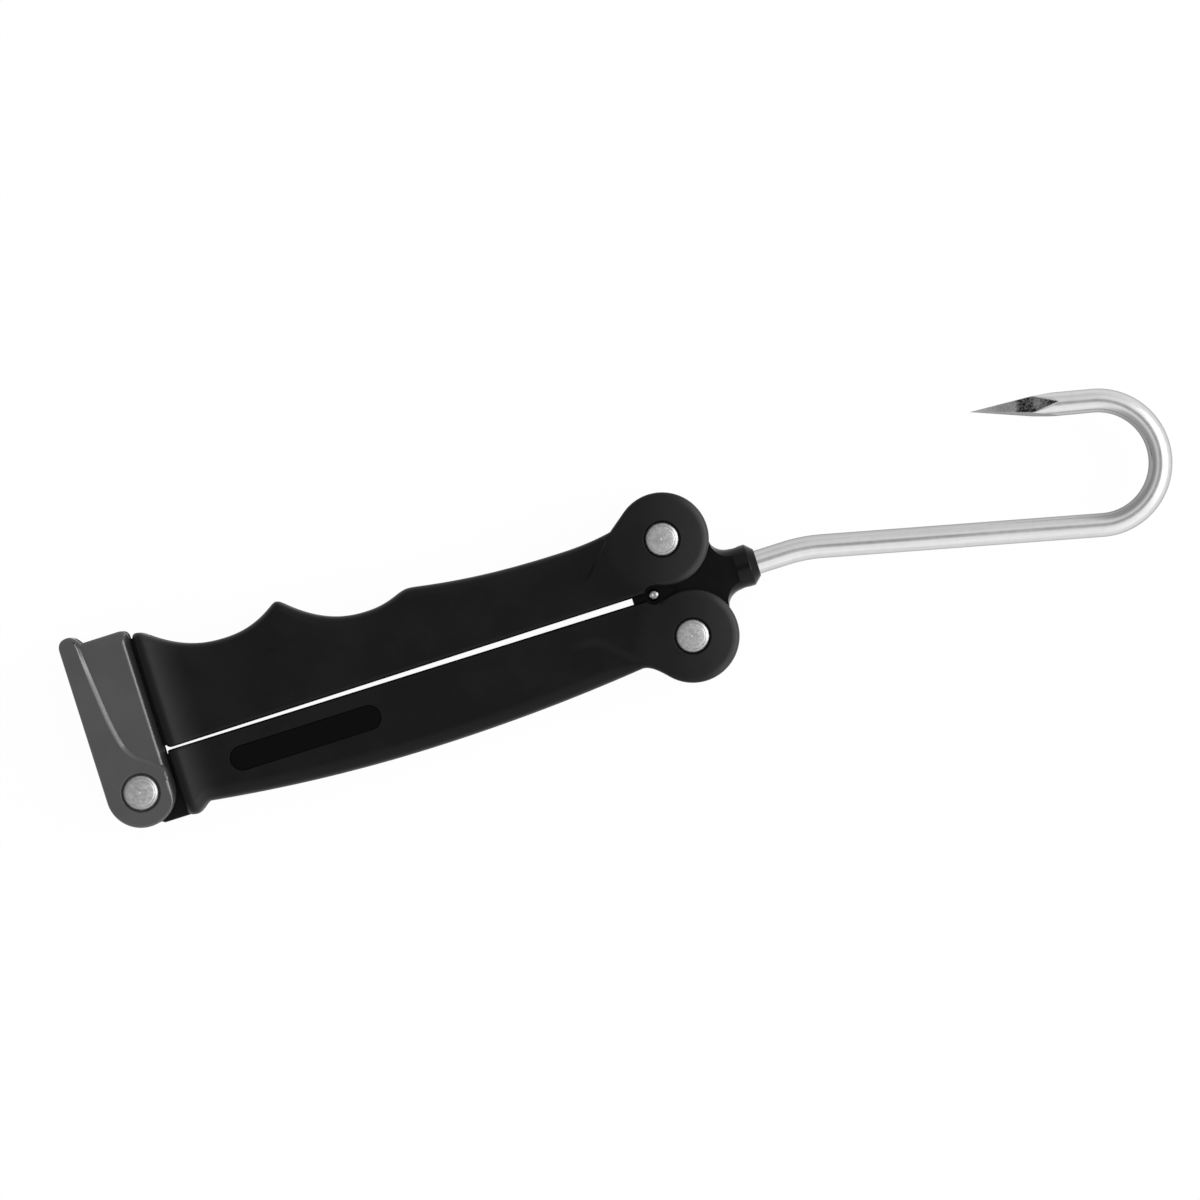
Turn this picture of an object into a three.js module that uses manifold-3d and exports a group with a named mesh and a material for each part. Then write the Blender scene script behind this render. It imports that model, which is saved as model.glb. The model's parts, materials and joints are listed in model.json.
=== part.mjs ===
// A folding fishing gaff: a wire hook in a hub, two handle halves that fold round it, and a butt latch.
// Millimetres. X runs along the handle towards the hook, Y across it towards the finger scallops, and Z up
// from the side it lies on. The pieces are modelled round the middle of the hub, and moved at the end.
import * as THREE from 'three';
import { mergeVertices } from 'three/addons/utils/BufferGeometryUtils.js';
import Module from 'manifold-3d';

const wasm = await Module();
wasm.setup();
const { degToRad, smoothstep, clamp, lerp } = THREE.MathUtils;

// Hook wire
const WIRE_DIAMETER = 4.6;
const SHANK_START = 25.5; // from the pivots to where the wire leaves the centre line
const SHANK_BEND_RADIUS = 31;
const SHANK_ANGLE = degToRad(13.3);
const SHANK_LENGTH = 57.8;
const HOOK_BEND_RADIUS = 12;
const HOOK_BEND_SWEEP = degToRad(181);
const LEG_LENGTH = 23.8; // from the bend to the tip
const POINT_LENGTH = 17; // where the four ground facets have run out
const POINT_TURN = degToRad(12); // of the facets about the wire
const HOOK_CLEARANCE = 0.8; // round the folded hook, inside the halves

// Hub
const NECK_DIAMETER = 8.15;
const NECK_END = 16.1;
const NECK_CHAMFER = 1.4;
const SHOULDER_START = 8.9;
const SHOULDER_LENGTH = 3;
const SHOULDER_WIDTH = 13.9;
const WEB_THICKNESS = 6.2; // less than the slot between the handle cheeks
const PLATE_THICKNESS = 4.8; // of the lugs and tail, between the washers
const LUG_RADIUS = 7.4;
const TAIL_LENGTH = 8.95;
const TAIL_WIDTH = 8;
const SOCKET_START = 8.2; // of the wire's socket in the neck
const CROSS_PIN_DIAMETER = 1.6;
const CROSS_PIN_PLACE = 12.6;
const STOP_PIN_DIAMETER = 2.3;
const STOP_PIN_PLACE = 4.75; // behind the pivots
const STOP_PIN_LENGTH = 10.4;
const STOP_PIN_CLEARANCE = 0.75; // in the notches of the two halves
const TAIL_CLEARANCE = 0.4; // to the spine walls of the halves

// Handle halves
const SPINE_WALL = 2.6; // along the inner edge, and it closes the channel there
const BUTT_WALL = 3.2;
const KNUCKLE_GAP = 0.75; // from a knuckle to the centre line
const KNUCKLE_THICKNESS = 14.8;
const KNUCKLE_ROUND = 1;
const GRIP_THICKNESS = 13.4;
const INNER_GAP_FRONT = 0.66; // from the inner edge to the centre line, at the pivots
const INNER_GAP_BUTT = 0.18;
const INNER_ROUND = 0.9;
const CORNER_ROUND = 1.2; // in plan, at the butt
const TANG_CORNER_ROUND = 0.4; // in plan, at the butt over the tang
const FINGER_CORNER_ROUND = 3; // in plan, where the finger edge meets the butt
const LIP_LENGTH = 5.2;
const LIP_ROUND = 1.8;
const LIP_FLARE = 2.1; // of the lower half's outer edge

// Finger edge of the upper half: three hollows, each with a height over the centre line
const BUTT_CREST_INSET = 0.6; // from the butt to the crest that the first hollow rises to
const BUTT_CREST_HEIGHT = 24.3;
const FIRST_HOLLOW_REACH = 16.5; // from a hollow to the crest behind it
const FIRST_HOLLOW_HEIGHT = 17.15;
const MIDDLE_CREST_INSET = 11.4; // from a hollow to the crest before it
const MIDDLE_CREST_HEIGHT = 21.2;
const SECOND_HOLLOW_REACH = 16;
const SECOND_HOLLOW_HEIGHT = 13.75;
const FRONT_CREST_INSET = 8;
const FRONT_CREST_HEIGHT = 15.9;
const NECK_HOLLOW_REACH = 30.5;
const NECK_HOLLOW_HEIGHT = 13.15;
const NECK_RISE = 0.95; // to where the edge meets the knuckle
const CORNER_REACH = 9.15; // behind the pivots, where a straight run up to the knuckle starts
const CORNER_TANGENT = 5.7; // where that run ends on the knuckle
const FINGER_POWER = 2.2; // how steeply a hollow rises towards its crests
const NECK_POWER = 2.3;
const CREST_SOFTNESS = 0.6;
const FINGER_ROUND = 2.2;
const FINGER_DISH = 0.9; // how far the face falls towards a hollow
const DISH_REACH = 7;

// Outer edge of the lower half: one belly
const BELLY_PLACE = 53; // behind the pivots
const BELLY_HEIGHT = 15.15;
const BELLY_DROP_BUTT = 3.2;
const BELLY_DROP_FRONT = 2.2;
const BELLY_FRONT_REACH = 41;
const BELLY_ROUND = 2.8;
const ROUND_REACH = 20; // behind the pivots, where either outer edge has its full rounding
const FILLET_REACH = 11; // behind the pivots, where the lower edge turns into the knuckle
const FILLET_TANGENT = 6.6;

// The raised knuckle face: it steps down to the grip and fades along the inner edge
const THROAT_END = 4; // how near the rivets' line the inner edges run, beside the stop pin
const STEP_FOOT_PLACE = 22.8; // behind the pivots
const UPPER_STEP = { slope: 1.1, foot: 5.3, footSlope: 0.14, width: 1, fade: 34.4, full: 16 };
const LOWER_STEP = { slope: 1, foot: 4.8, footSlope: 0.05, width: 2.4, fade: 27, full: 14 };

// Rivets, bearings and washers
const SLEEVE_DIAMETER = 3.8;
const SLEEVE_WALL = 0.65;
const HEAD_DIAMETER = 6.4;
const LATCH_HEAD_DIAMETER = 6.8;
const HEAD_THICKNESS = 1.1;
const HEAD_CHAMFER = 0.45;
const HEAD_SINK = 0.1; // below the face
const HEAD_CLEARANCE = 0.4; // round the head, in its counterbore
const BUSHING_WALL = 0.8;
const WASHER_DIAMETER = 11;
const WASHER_THICKNESS = 0.6;
const RUNNING_CLEARANCE = 0.1;
const SEAT_CLEARANCE = 0.15;

// Latch
const LATCH_WIDTH = 13.5;
const LATCH_THICKNESS = 12.8;
const LATCH_GAP = 0.5; // to the butts
const LATCH_PIVOT_OFFSET = 6.4; // below the centre line
const LATCH_LENGTH = 30.8; // from its rivet to its square end
const LATCH_CORNER = 1.7; // in plan, at its square end
const LATCH_CHAMFER = 0.5;
const LOBE_WIDTH = 4.4;
const LOBE_HEIGHT = 1.8;
const BRIDGE_DEPTH = 2.4; // below the latch's square end
const PANEL_DEPTH = 0.35;
const PANEL_TOP_INSET = 3.1; // from the lobe side of the latch, at the square end
const PANEL_FOOT_INSET = 5.6;
const PANEL_FOOT = 6; // above the latch rivet
const PANEL_BEND = 1.7; // of the panel's corner beside the rivet boss
const LATCH_BEVEL = 1.7; // of the panel's edge beside the grips, at the square end
const TANG_THICKNESS = 6;
const TANG_RADIUS = 5.3;
const HEEL_REACH = 4.6; // of the tang's lower corner behind the butt
const TONGUE_LENGTH = 11.2;
const TONGUE_LOW = 5;
const TONGUE_HIGH = 15;
const TONGUE_CORNER = 1.7; // in plan
const TONGUE_CLEARANCE = 0.4; // to each cheek of the latch
const TONGUE_SWING_CLEARANCE = 0.6; // to the latch's bridge

// Label inlay
const LABEL_LENGTH = 30;
const LABEL_WIDTH = 4.6;
const LABEL_THICKNESS = 0.7;
const LABEL_SINK = 0.2;
const LABEL_FROM_BUTT = 26.1;
const LABEL_OFFSET = 5.9;

// How finely round shapes are faceted
const SMALL_ROUND = 24;
const LARGE_ROUND = 48;
const LATCH_SWING_ROUND = 176;
const GRIP_STATIONS = 44;
const FRONT_STATIONS = 4;
const END_STATIONS = 3;
const RIM_STEPS = 2;
const FLARE_STEPS = 4;
const CURVE_STEPS = 8;
const WIRE_STEPS = 10; // to a half turn of the wire's round section
const BEND_FACET = degToRad(6.5);
const KNOT_SHARE = 1 / 12; // least share of a face's width between two lines along it

// Places that follow from the sizes
const wireRadius = WIRE_DIAMETER / 2;
const shankAlong = new THREE.Vector2(Math.cos(SHANK_ANGLE), -Math.sin(SHANK_ANGLE));
const shankAcross = new THREE.Vector2(-shankAlong.y, shankAlong.x);
const shankCorner = new THREE.Vector2(SHANK_START, 0);
const bendCentre = shankCorner
  .clone()
  .addScaledVector(shankAlong, SHANK_LENGTH)
  .addScaledVector(shankAcross, HOOK_BEND_RADIUS);
const hookReach = bendCentre.x + HOOK_BEND_RADIUS + wireRadius;
const hookDepth = HOOK_BEND_RADIUS + wireRadius - bendCentre.y;
const pivotY = (hookDepth + HOOK_CLEARANCE + SPINE_WALL + INNER_GAP_BUTT) / 2;
const knuckleRadius = pivotY - KNUCKLE_GAP;
const buttX = -(hookReach + HOOK_CLEARANCE + BUTT_WALL);
const channelEndX = buttX + BUTT_WALL;
const slotWidth = PLATE_THICKNESS + 2 * WASHER_THICKNESS + 4 * SEAT_CLEARANCE;
const knuckleHalf = KNUCKLE_THICKNESS / 2;
const gripHalf = GRIP_THICKNESS / 2;
const latchHalf = LATCH_THICKNESS / 2;
const latchRadius = LATCH_WIDTH / 2;
const latchPivot = new THREE.Vector2(buttX - LATCH_GAP - latchRadius, -LATCH_PIVOT_OFFSET);
const cheekInner = TANG_THICKNESS / 2 + WASHER_THICKNESS + 2 * SEAT_CLEARANCE;
const sleeveRadius = SLEEVE_DIAMETER / 2;
const bushingBore = sleeveRadius + RUNNING_CLEARANCE;
const bushingRadius = bushingBore + BUSHING_WALL;
const firstHollowX = buttX + BUTT_CREST_INSET + FIRST_HOLLOW_REACH;
const secondHollowX = firstHollowX + MIDDLE_CREST_INSET + SECOND_HOLLOW_REACH;
const neckHollowX = secondHollowX + FRONT_CREST_INSET + NECK_HOLLOW_REACH;
const bellyX = -BELLY_PLACE;
const spineX = -(TAIL_LENGTH + TAIL_CLEARANCE);
const CUT = 1; // how far a cutting tool runs past what it cuts

// A closed geometry as a solid that can be joined and cut, with its faces out
function solid(geometry) {
  const bare = new THREE.BufferGeometry();
  const loose = geometry.index ? geometry.toNonIndexed() : geometry;
  bare.setAttribute('position', loose.getAttribute('position').clone());
  const merged = mergeVertices(bare, 1e-4);
  const position = merged.getAttribute('position');
  const corner = [new THREE.Vector3(), new THREE.Vector3(), new THREE.Vector3()];
  const faces = [];
  let volume = 0;
  for (let i = 0; i < merged.index.count; i += 3) {
    const face = [0, 1, 2].map((k) => merged.index.getX(i + k));
    if (face[0] === face[1] || face[1] === face[2] || face[2] === face[0]) continue;
    face.forEach((vertex, k) => corner[k].fromBufferAttribute(position, vertex));
    volume += corner[0].dot(corner[1].cross(corner[2]));
    faces.push(face);
  }
  const outward = volume < 0 ? faces.map((face) => face.reverse()) : faces;
  return new wasm.Manifold(
    new wasm.Mesh({ numProp: 3, vertProperties: position.array, triVerts: new Uint32Array(outward.flat()) }),
  );
}

// A solid as a geometry again
function geometryOf(made) {
  const { vertProperties, triVerts } = made.getMesh();
  const geometry = new THREE.BufferGeometry();
  geometry.setAttribute('position', new THREE.BufferAttribute(Float32Array.from(vertProperties), 3));
  geometry.setIndex(new THREE.BufferAttribute(Uint32Array.from(triVerts), 1));
  return geometry;
}

// A plate of the outline's shape, from one height to another, with both rims chamfered
function plate(outline, low, high, chamfer = 0) {
  const geometry = new THREE.ExtrudeGeometry(outline, {
    depth: high - low - 2 * chamfer,
    bevelEnabled: chamfer > 0,
    bevelThickness: chamfer,
    bevelSize: chamfer,
    bevelOffset: -chamfer,
    bevelSegments: 1,
    curveSegments: CURVE_STEPS,
  });
  return solid(geometry.translate(0, 0, low + chamfer));
}

// A turned piece: a profile of [radius, height] pairs, spun about Z
function turned(profile, segments = SMALL_ROUND) {
  const points = profile.map(([radius, height]) => new THREE.Vector2(radius, height));
  return solid(new THREE.LatheGeometry(points, segments).rotateX(Math.PI / 2));
}

function cylinder(radius, low, high, segments = SMALL_ROUND) {
  return turned([[0, low], [radius, low], [radius, high], [0, high]], segments);
}

function tube(bore, radius, low, high) {
  return turned([[bore, low], [radius, low], [radius, high], [bore, high], [bore, low]]);
}

const alongX = (made) => made.rotate([0, 90, 0]);
const alongY = (made) => made.rotate([90, 0, 0]);

// A rectangle in plan
function rectangle(left, right, bottom, top) {
  const corners = [[left, bottom], [right, bottom], [right, top], [left, top]];
  return new THREE.Shape(corners.map(([x, y]) => new THREE.Vector2(x, y)));
}

// A closed skin over rings with equally many points, with a flat cap at each end
function loft(rings) {
  const count = rings[0].length;
  const position = rings.flat().flatMap((point) => point.toArray());
  const index = [];
  for (let r = 0; r + 1 < rings.length; r++) {
    for (let i = 0; i < count; i++) {
      const a = r * count + i;
      const b = r * count + ((i + 1) % count);
      index.push(a, b, b + count, a, b + count, a + count);
    }
  }
  for (const [first, turn] of [[0, 1], [(rings.length - 1) * count, -1]]) {
    const middle = position.length / 3;
    const centre = new THREE.Vector3();
    for (let i = 0; i < count; i++) centre.addScaledVector(rings.flat()[first + i], 1 / count);
    position.push(...centre.toArray());
    for (let i = 0; i < count; i++) {
      const face = [middle, first + ((i + 1) % count), first + i];
      index.push(...(turn > 0 ? face : face.reverse()));
    }
  }
  const geometry = new THREE.BufferGeometry();
  geometry.setAttribute('position', new THREE.Float32BufferAttribute(position, 3));
  geometry.setIndex(index);
  return solid(geometry);
}

// The lowest of some values, with a soft corner where two of them cross
function softMin(values, softness) {
  const lowest = Math.min(...values);
  return lowest - softness * Math.log(values.reduce((sum, v) => sum + Math.exp((lowest - v) / softness), 0));
}

// A hollow in the finger edge: its height rises with a power of the distance, to a crest on each side
function hollow(x, place, height, [backReach, backRise], [frontReach, frontRise], power) {
  const back = x < place;
  const share = Math.abs(x - place) / (back ? backReach : frontReach);
  return height + (back ? backRise : frontRise) * share ** power;
}

// Outline of a knuckle over the centre line
const knuckleTop = (x) => pivotY + Math.sqrt(knuckleRadius ** 2 - x ** 2);

// Finger edge of the upper half over the centre line, with a straight run up to the knuckle
function fingerEdge(place) {
  const x = Math.min(place, -CORNER_REACH);
  const run = clamp((place + CORNER_REACH) / (CORNER_REACH - CORNER_TANGENT), 0, 1);
  const first = hollow(x, firstHollowX, FIRST_HOLLOW_HEIGHT,
    [FIRST_HOLLOW_REACH, BUTT_CREST_HEIGHT - FIRST_HOLLOW_HEIGHT],
    [MIDDLE_CREST_INSET, MIDDLE_CREST_HEIGHT - FIRST_HOLLOW_HEIGHT], FINGER_POWER);
  const second = hollow(x, secondHollowX, SECOND_HOLLOW_HEIGHT,
    [SECOND_HOLLOW_REACH, MIDDLE_CREST_HEIGHT - SECOND_HOLLOW_HEIGHT],
    [FRONT_CREST_INSET, FRONT_CREST_HEIGHT - SECOND_HOLLOW_HEIGHT], FINGER_POWER);
  const neck = hollow(x, neckHollowX, NECK_HOLLOW_HEIGHT,
    [NECK_HOLLOW_REACH, FRONT_CREST_HEIGHT - NECK_HOLLOW_HEIGHT],
    [-neckHollowX - knuckleRadius, NECK_RISE], NECK_POWER);
  return lerp(softMin([first, second, neck], CREST_SOFTNESS), knuckleTop(CORNER_TANGENT), run);
}

// How far a place along the finger edge is inside a hollow: 1 at its bottom, 0 at its crests
function insideHollow(x) {
  const bump = (place, back, front) => 1 - Math.abs(x - place) / (x < place ? back : front);
  const first = bump(firstHollowX, FIRST_HOLLOW_REACH, MIDDLE_CREST_INSET);
  const second = bump(secondHollowX, SECOND_HOLLOW_REACH, FRONT_CREST_INSET);
  return smoothstep(Math.max(first, second), 0, 1);
}

// Outer edge of the lower half: a belly, a lip at the butt and a fillet into the knuckle
function bellyEdge(x) {
  const back = x < bellyX;
  const reach = back ? bellyX - buttX - LIP_LENGTH : BELLY_FRONT_REACH;
  const drop = (back ? BELLY_DROP_BUTT : BELLY_DROP_FRONT) * (Math.abs(x - bellyX) / reach) ** 2;
  const plain = BELLY_HEIGHT - drop + LIP_FLARE * lip(x);
  if (x < -FILLET_REACH) return plain;
  const span = FILLET_REACH - FILLET_TANGENT;
  const t = clamp((x + FILLET_REACH) / span, 0, 1);
  const start = BELLY_HEIGHT - BELLY_DROP_FRONT * ((bellyX + FILLET_REACH) / BELLY_FRONT_REACH) ** 2;
  const end = knuckleTop(FILLET_TANGENT);
  const pull = (t ** 3 - t ** 2) * span * (FILLET_TANGENT / (end - pivotY));
  return lerp(start, end, smoothstep(t, 0, 1)) + pull;
}

// The lip at the butt: 0 on the grip, 1 at the butt
const lip = (x) => smoothstep(buttX + LIP_LENGTH - x, 0, LIP_LENGTH - LIP_ROUND);

// Inner edge of either half: its distance from the centre line
const innerEdge = (x) => INNER_GAP_FRONT + (INNER_GAP_BUTT - INNER_GAP_FRONT) * (x / buttX);

// Line where the raised knuckle face steps down: two straight runs with a soft corner
function stepLine(x, step, edge) {
  const steep = edge(-knuckleRadius) + step.slope * (x + knuckleRadius);
  const shallow = step.foot + step.footSlope * (x + STEP_FOOT_PLACE);
  return -softMin([-steep, -shallow], CREST_SOFTNESS);
}

// Half-thickness of a handle half at a place on its face
function faceHeight(half, x, across) {
  const raise = knuckleHalf - gripHalf;
  const fade = smoothstep(x, -half.step.fade, -half.step.full);
  const inside = (stepLine(x, half.step, half.edge) - across) / half.step.width + 0.5;
  const knuckle = raise * fade * smoothstep(inside, 0, 1);
  const dish = half.dish * insideHollow(x) * smoothstep(across, half.edge(x) - DISH_REACH, half.edge(x));
  return gripHalf + Math.max(knuckle, raise * lip(x)) - dish;
}

// How far the skin is drawn in at the butt by a rounding of the given radius
function endRound(x, radius) {
  const past = clamp(1 - (x - buttX) / radius, 0, 1);
  return radius * (1 - Math.sqrt(1 - past ** 2));
}

// A quarter round that falls away to one side from a point on a face, without that point itself
function rimArc([across, height], radius, side) {
  return Array.from({ length: RIM_STEPS }, (_, k) => {
    const angle = ((k + 1) * Math.PI) / (2 * RIM_STEPS);
    return [across + side * radius * Math.sin(angle), height - radius * (1 - Math.cos(angle))];
  });
}

// One ring of a half's skin: up the inner edge, over the front face, down the outer edge and back underneath
function gripRing(half, x) {
  const low = innerEdge(x) + endRound(x, half.innerCorner);
  const high = x > -half.tangent ? pivotY : half.edge(x) - endRound(x, half.corner);
  const sink = endRound(x, LIP_ROUND);
  const round = lerp(KNUCKLE_ROUND, half.round, smoothstep(-x, half.tangent, ROUND_REACH));
  const line = stepLine(x, half.step, half.edge);
  const first = low + INNER_ROUND;
  const last = high - round;
  const halfStep = half.step.width / 2;
  const knots = [line - halfStep, line + halfStep, high - DISH_REACH, high - DISH_REACH / 2];
  const least = (last - first) * KNOT_SHARE;
  const face = [first];
  knots.forEach((knot, k) => {
    face.push(clamp(knot, face[k] + least, last - least * (knots.length - k)));
  });
  face.push(last);
  const top = face.map((across) => [across, faceHeight(half, x, across) - sink]);
  const innerRim = rimArc(top[0], INNER_ROUND, -1).reverse();
  const outerRim = rimArc(top[top.length - 1], round, 1);
  const front = [...innerRim, ...top, ...outerRim];
  const back = front.map(([across, height]) => [across, -height]).reverse();
  return [...front, ...back].map(([across, height]) => new THREE.Vector3(x, half.side * across, height));
}

// The stations of the skin: one inside the knuckle, close steps beside it and at the butt, even ones between
function gripStations(half) {
  const end = buttX + LIP_ROUND;
  const between = (from, to, count) => Array.from({ length: count }, (_, i) => lerp(from, to, i / count));
  const front = between(-half.tangent, -half.reach, FRONT_STATIONS);
  const even = between(-half.reach, end, GRIP_STATIONS);
  const round = between(0, Math.PI / 2, END_STATIONS).map((angle) => end - LIP_ROUND * Math.sin(angle));
  return [-THROAT_END, ...front, ...even, ...round, buttX];
}

// A knuckle: a disc with rounded rims
function knuckle() {
  const flat = [knuckleRadius - KNUCKLE_ROUND, knuckleHalf];
  const top = [flat, ...rimArc(flat, KNUCKLE_ROUND, 1)];
  const bottom = top.map(([radius, height]) => [radius, -height]);
  return turned([[0, -knuckleHalf], ...bottom, ...top.reverse(), [0, knuckleHalf]], LARGE_ROUND);
}

// Room for a rivet along Z: a hole and a counterbore in each face
function rivetRoom(headRadius, faceHalf) {
  const bore = cylinder(sleeveRadius + SEAT_CLEARANCE, -faceHalf - CUT, faceHalf + CUT);
  const seat = faceHalf - HEAD_SINK - HEAD_THICKNESS - SEAT_CLEARANCE;
  const front = cylinder(headRadius + HEAD_CLEARANCE, seat, faceHalf + CUT);
  const back = cylinder(headRadius + HEAD_CLEARANCE, -faceHalf - CUT, -seat);
  return bore.add(front).add(back);
}

// The channel that the folded hook lies in: open along the outer edge and right through the knuckle
function channel(half) {
  const beyond = pivotY + knuckleRadius + HOOK_BEND_RADIUS;
  const floor = (x) => half.side * (innerEdge(x) + SPINE_WALL);
  const outline = new THREE.Shape();
  outline.moveTo(channelEndX, floor(channelEndX));
  outline.lineTo(spineX, floor(spineX));
  outline.lineTo(spineX, -half.side * CUT);
  outline.lineTo(knuckleRadius + CUT, -half.side * CUT);
  outline.lineTo(knuckleRadius + CUT, half.side * beyond);
  outline.lineTo(channelEndX, half.side * beyond);
  return plate(outline, -slotWidth / 2, slotWidth / 2);
}

// What both halves share: skin, knuckle, channel, rivet room and the notch for the stop pin
function halfBody(half) {
  const skin = loft(gripStations(half).map((x) => gripRing(half, x)));
  const notch = cylinder(STOP_PIN_DIAMETER / 2 + STOP_PIN_CLEARANCE, -knuckleHalf - CUT, knuckleHalf + CUT);
  return skin
    .add(knuckle().translate([0, half.side * pivotY, 0]))
    .subtract(channel(half))
    .subtract(rivetRoom(HEAD_DIAMETER / 2, knuckleHalf).translate([0, half.side * pivotY, 0]))
    .subtract(notch.translate([-STOP_PIN_PLACE, 0, 0]));
}

const upperHalf = {
  side: 1,
  edge: fingerEdge,
  round: FINGER_ROUND,
  corner: FINGER_CORNER_ROUND,
  innerCorner: CORNER_ROUND,
  dish: FINGER_DISH,
  step: UPPER_STEP,
  tangent: CORNER_TANGENT,
  reach: CORNER_REACH,
};
const lowerHalf = {
  side: -1,
  edge: bellyEdge,
  round: BELLY_ROUND,
  corner: CORNER_ROUND,
  innerCorner: TANG_CORNER_ROUND,
  dish: 0,
  step: LOWER_STEP,
  tangent: FILLET_TANGENT,
  reach: FILLET_REACH,
};

// Upper half, with the tongue that the latch closes over
function upperHandle() {
  const thick = cheekInner - TONGUE_CLEARANCE;
  const root = buttX + BUTT_WALL / 2;
  const end = buttX - TONGUE_LENGTH;
  const tongue = new THREE.Shape();
  tongue.moveTo(root, TONGUE_LOW);
  tongue.lineTo(root, TONGUE_HIGH);
  tongue.lineTo(end + TONGUE_CORNER, TONGUE_HIGH);
  tongue.quadraticCurveTo(end, TONGUE_HIGH, end, TONGUE_HIGH - TONGUE_CORNER);
  tongue.lineTo(end, TONGUE_LOW + TONGUE_CORNER);
  tongue.quadraticCurveTo(end, TONGUE_LOW, end + TONGUE_CORNER, TONGUE_LOW);
  return halfBody(upperHalf).add(plate(tongue, -thick, thick));
}

// Lower half, with the tang that carries the latch and the pocket for the label
function lowerHandle() {
  const heelY = -bellyEdge(buttX);
  const tang = new THREE.Shape();
  tang.moveTo(buttX + BUTT_WALL / 2, heelY);
  tang.lineTo(buttX + BUTT_WALL / 2, latchPivot.y + TANG_RADIUS);
  tang.lineTo(latchPivot.x, latchPivot.y + TANG_RADIUS);
  tang.absarc(latchPivot.x, latchPivot.y, TANG_RADIUS, Math.PI / 2, Math.PI * 1.5, false);
  tang.lineTo(buttX - HEEL_REACH, heelY);
  const bore = cylinder(bushingRadius + SEAT_CLEARANCE, -TANG_THICKNESS, TANG_THICKNESS);
  const pocket = labelOutline(SEAT_CLEARANCE);
  const pocketFloor = gripHalf - LABEL_SINK - LABEL_THICKNESS - SEAT_CLEARANCE;
  return halfBody(lowerHalf)
    .add(plate(tang, -TANG_THICKNESS / 2, TANG_THICKNESS / 2))
    .subtract(bore.translate([latchPivot.x, latchPivot.y, 0]))
    .subtract(plate(pocket, pocketFloor, gripHalf + CUT));
}

// A stadium in plan, grown by the given margin
function labelOutline(margin) {
  const radius = LABEL_WIDTH / 2 + margin;
  const half = (LABEL_LENGTH - LABEL_WIDTH) / 2;
  const x = buttX + LABEL_FROM_BUTT;
  const outline = new THREE.Shape();
  outline.absarc(x - half, -LABEL_OFFSET, radius, Math.PI / 2, Math.PI * 1.5, false);
  outline.absarc(x + half, -LABEL_OFFSET, radius, -Math.PI / 2, Math.PI / 2, false);
  return outline;
}

function labelPlate() {
  const top = gripHalf - LABEL_SINK;
  return plate(labelOutline(0), top - LABEL_THICKNESS, top);
}

// Middle line of the wire in plan: straight runs and arcs, each in its own number of even steps
class WirePath extends THREE.Curve {
  constructor(runs) {
    super();
    this.runs = runs;
    this.steps = runs.reduce((sum, run) => sum + run.steps, 0);
  }

  getPoint(t, target = new THREE.Vector3()) {
    let left = t * this.steps;
    let run = this.runs[0];
    for (run of this.runs) {
      if (left <= run.steps) break;
      left -= run.steps;
    }
    const point = run.curve.getPoint(clamp(left / run.steps, 0, 1));
    return target.set(point.x, point.y, 0);
  }

  getUtoTmapping(u) {
    return u;
  }
}

function wirePath() {
  const cornerRun = SHANK_BEND_RADIUS * Math.tan(SHANK_ANGLE / 2);
  const bendIn = new THREE.Vector2(SHANK_START - cornerRun, 0);
  const bendOut = shankCorner.clone().addScaledVector(shankAlong, cornerRun);
  const hookIn = bendCentre.clone().addScaledVector(shankAcross, -HOOK_BEND_RADIUS);
  const quarter = Math.PI / 2;
  const startAngle = -SHANK_ANGLE - quarter;
  const endAngle = startAngle + HOOK_BEND_SWEEP;
  const hookOut = new THREE.Vector2(Math.cos(endAngle), Math.sin(endAngle))
    .multiplyScalar(HOOK_BEND_RADIUS)
    .add(bendCentre);
  const legAlong = new THREE.Vector2(-Math.sin(endAngle), Math.cos(endAngle));
  const tip = hookOut.clone().addScaledVector(legAlong, LEG_LENGTH);
  const pastTip = tip.clone().addScaledVector(legAlong, CUT);
  const arc = (centre, radius, from, to, clockwise) =>
    new THREE.EllipseCurve(centre.x, centre.y, radius, radius, from, to, clockwise);
  const bendMiddle = new THREE.Vector2(bendIn.x, -SHANK_BEND_RADIUS);
  const straight = (from, to) => ({ curve: new THREE.LineCurve(from, to), steps: 1 });
  const bent = (angle, curve) => ({ curve, steps: Math.ceil(angle / BEND_FACET) });
  const runs = [
    straight(new THREE.Vector2(SOCKET_START + 2 * SEAT_CLEARANCE, 0), bendIn),
    bent(SHANK_ANGLE, arc(bendMiddle, SHANK_BEND_RADIUS, quarter, quarter - SHANK_ANGLE, true)),
    straight(bendOut, hookIn),
    bent(HOOK_BEND_SWEEP, arc(bendCentre, HOOK_BEND_RADIUS, startAngle, endAngle, false)),
    straight(hookOut, pastTip),
  ];
  return { path: new WirePath(runs), tip, legAlong };
}

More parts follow.
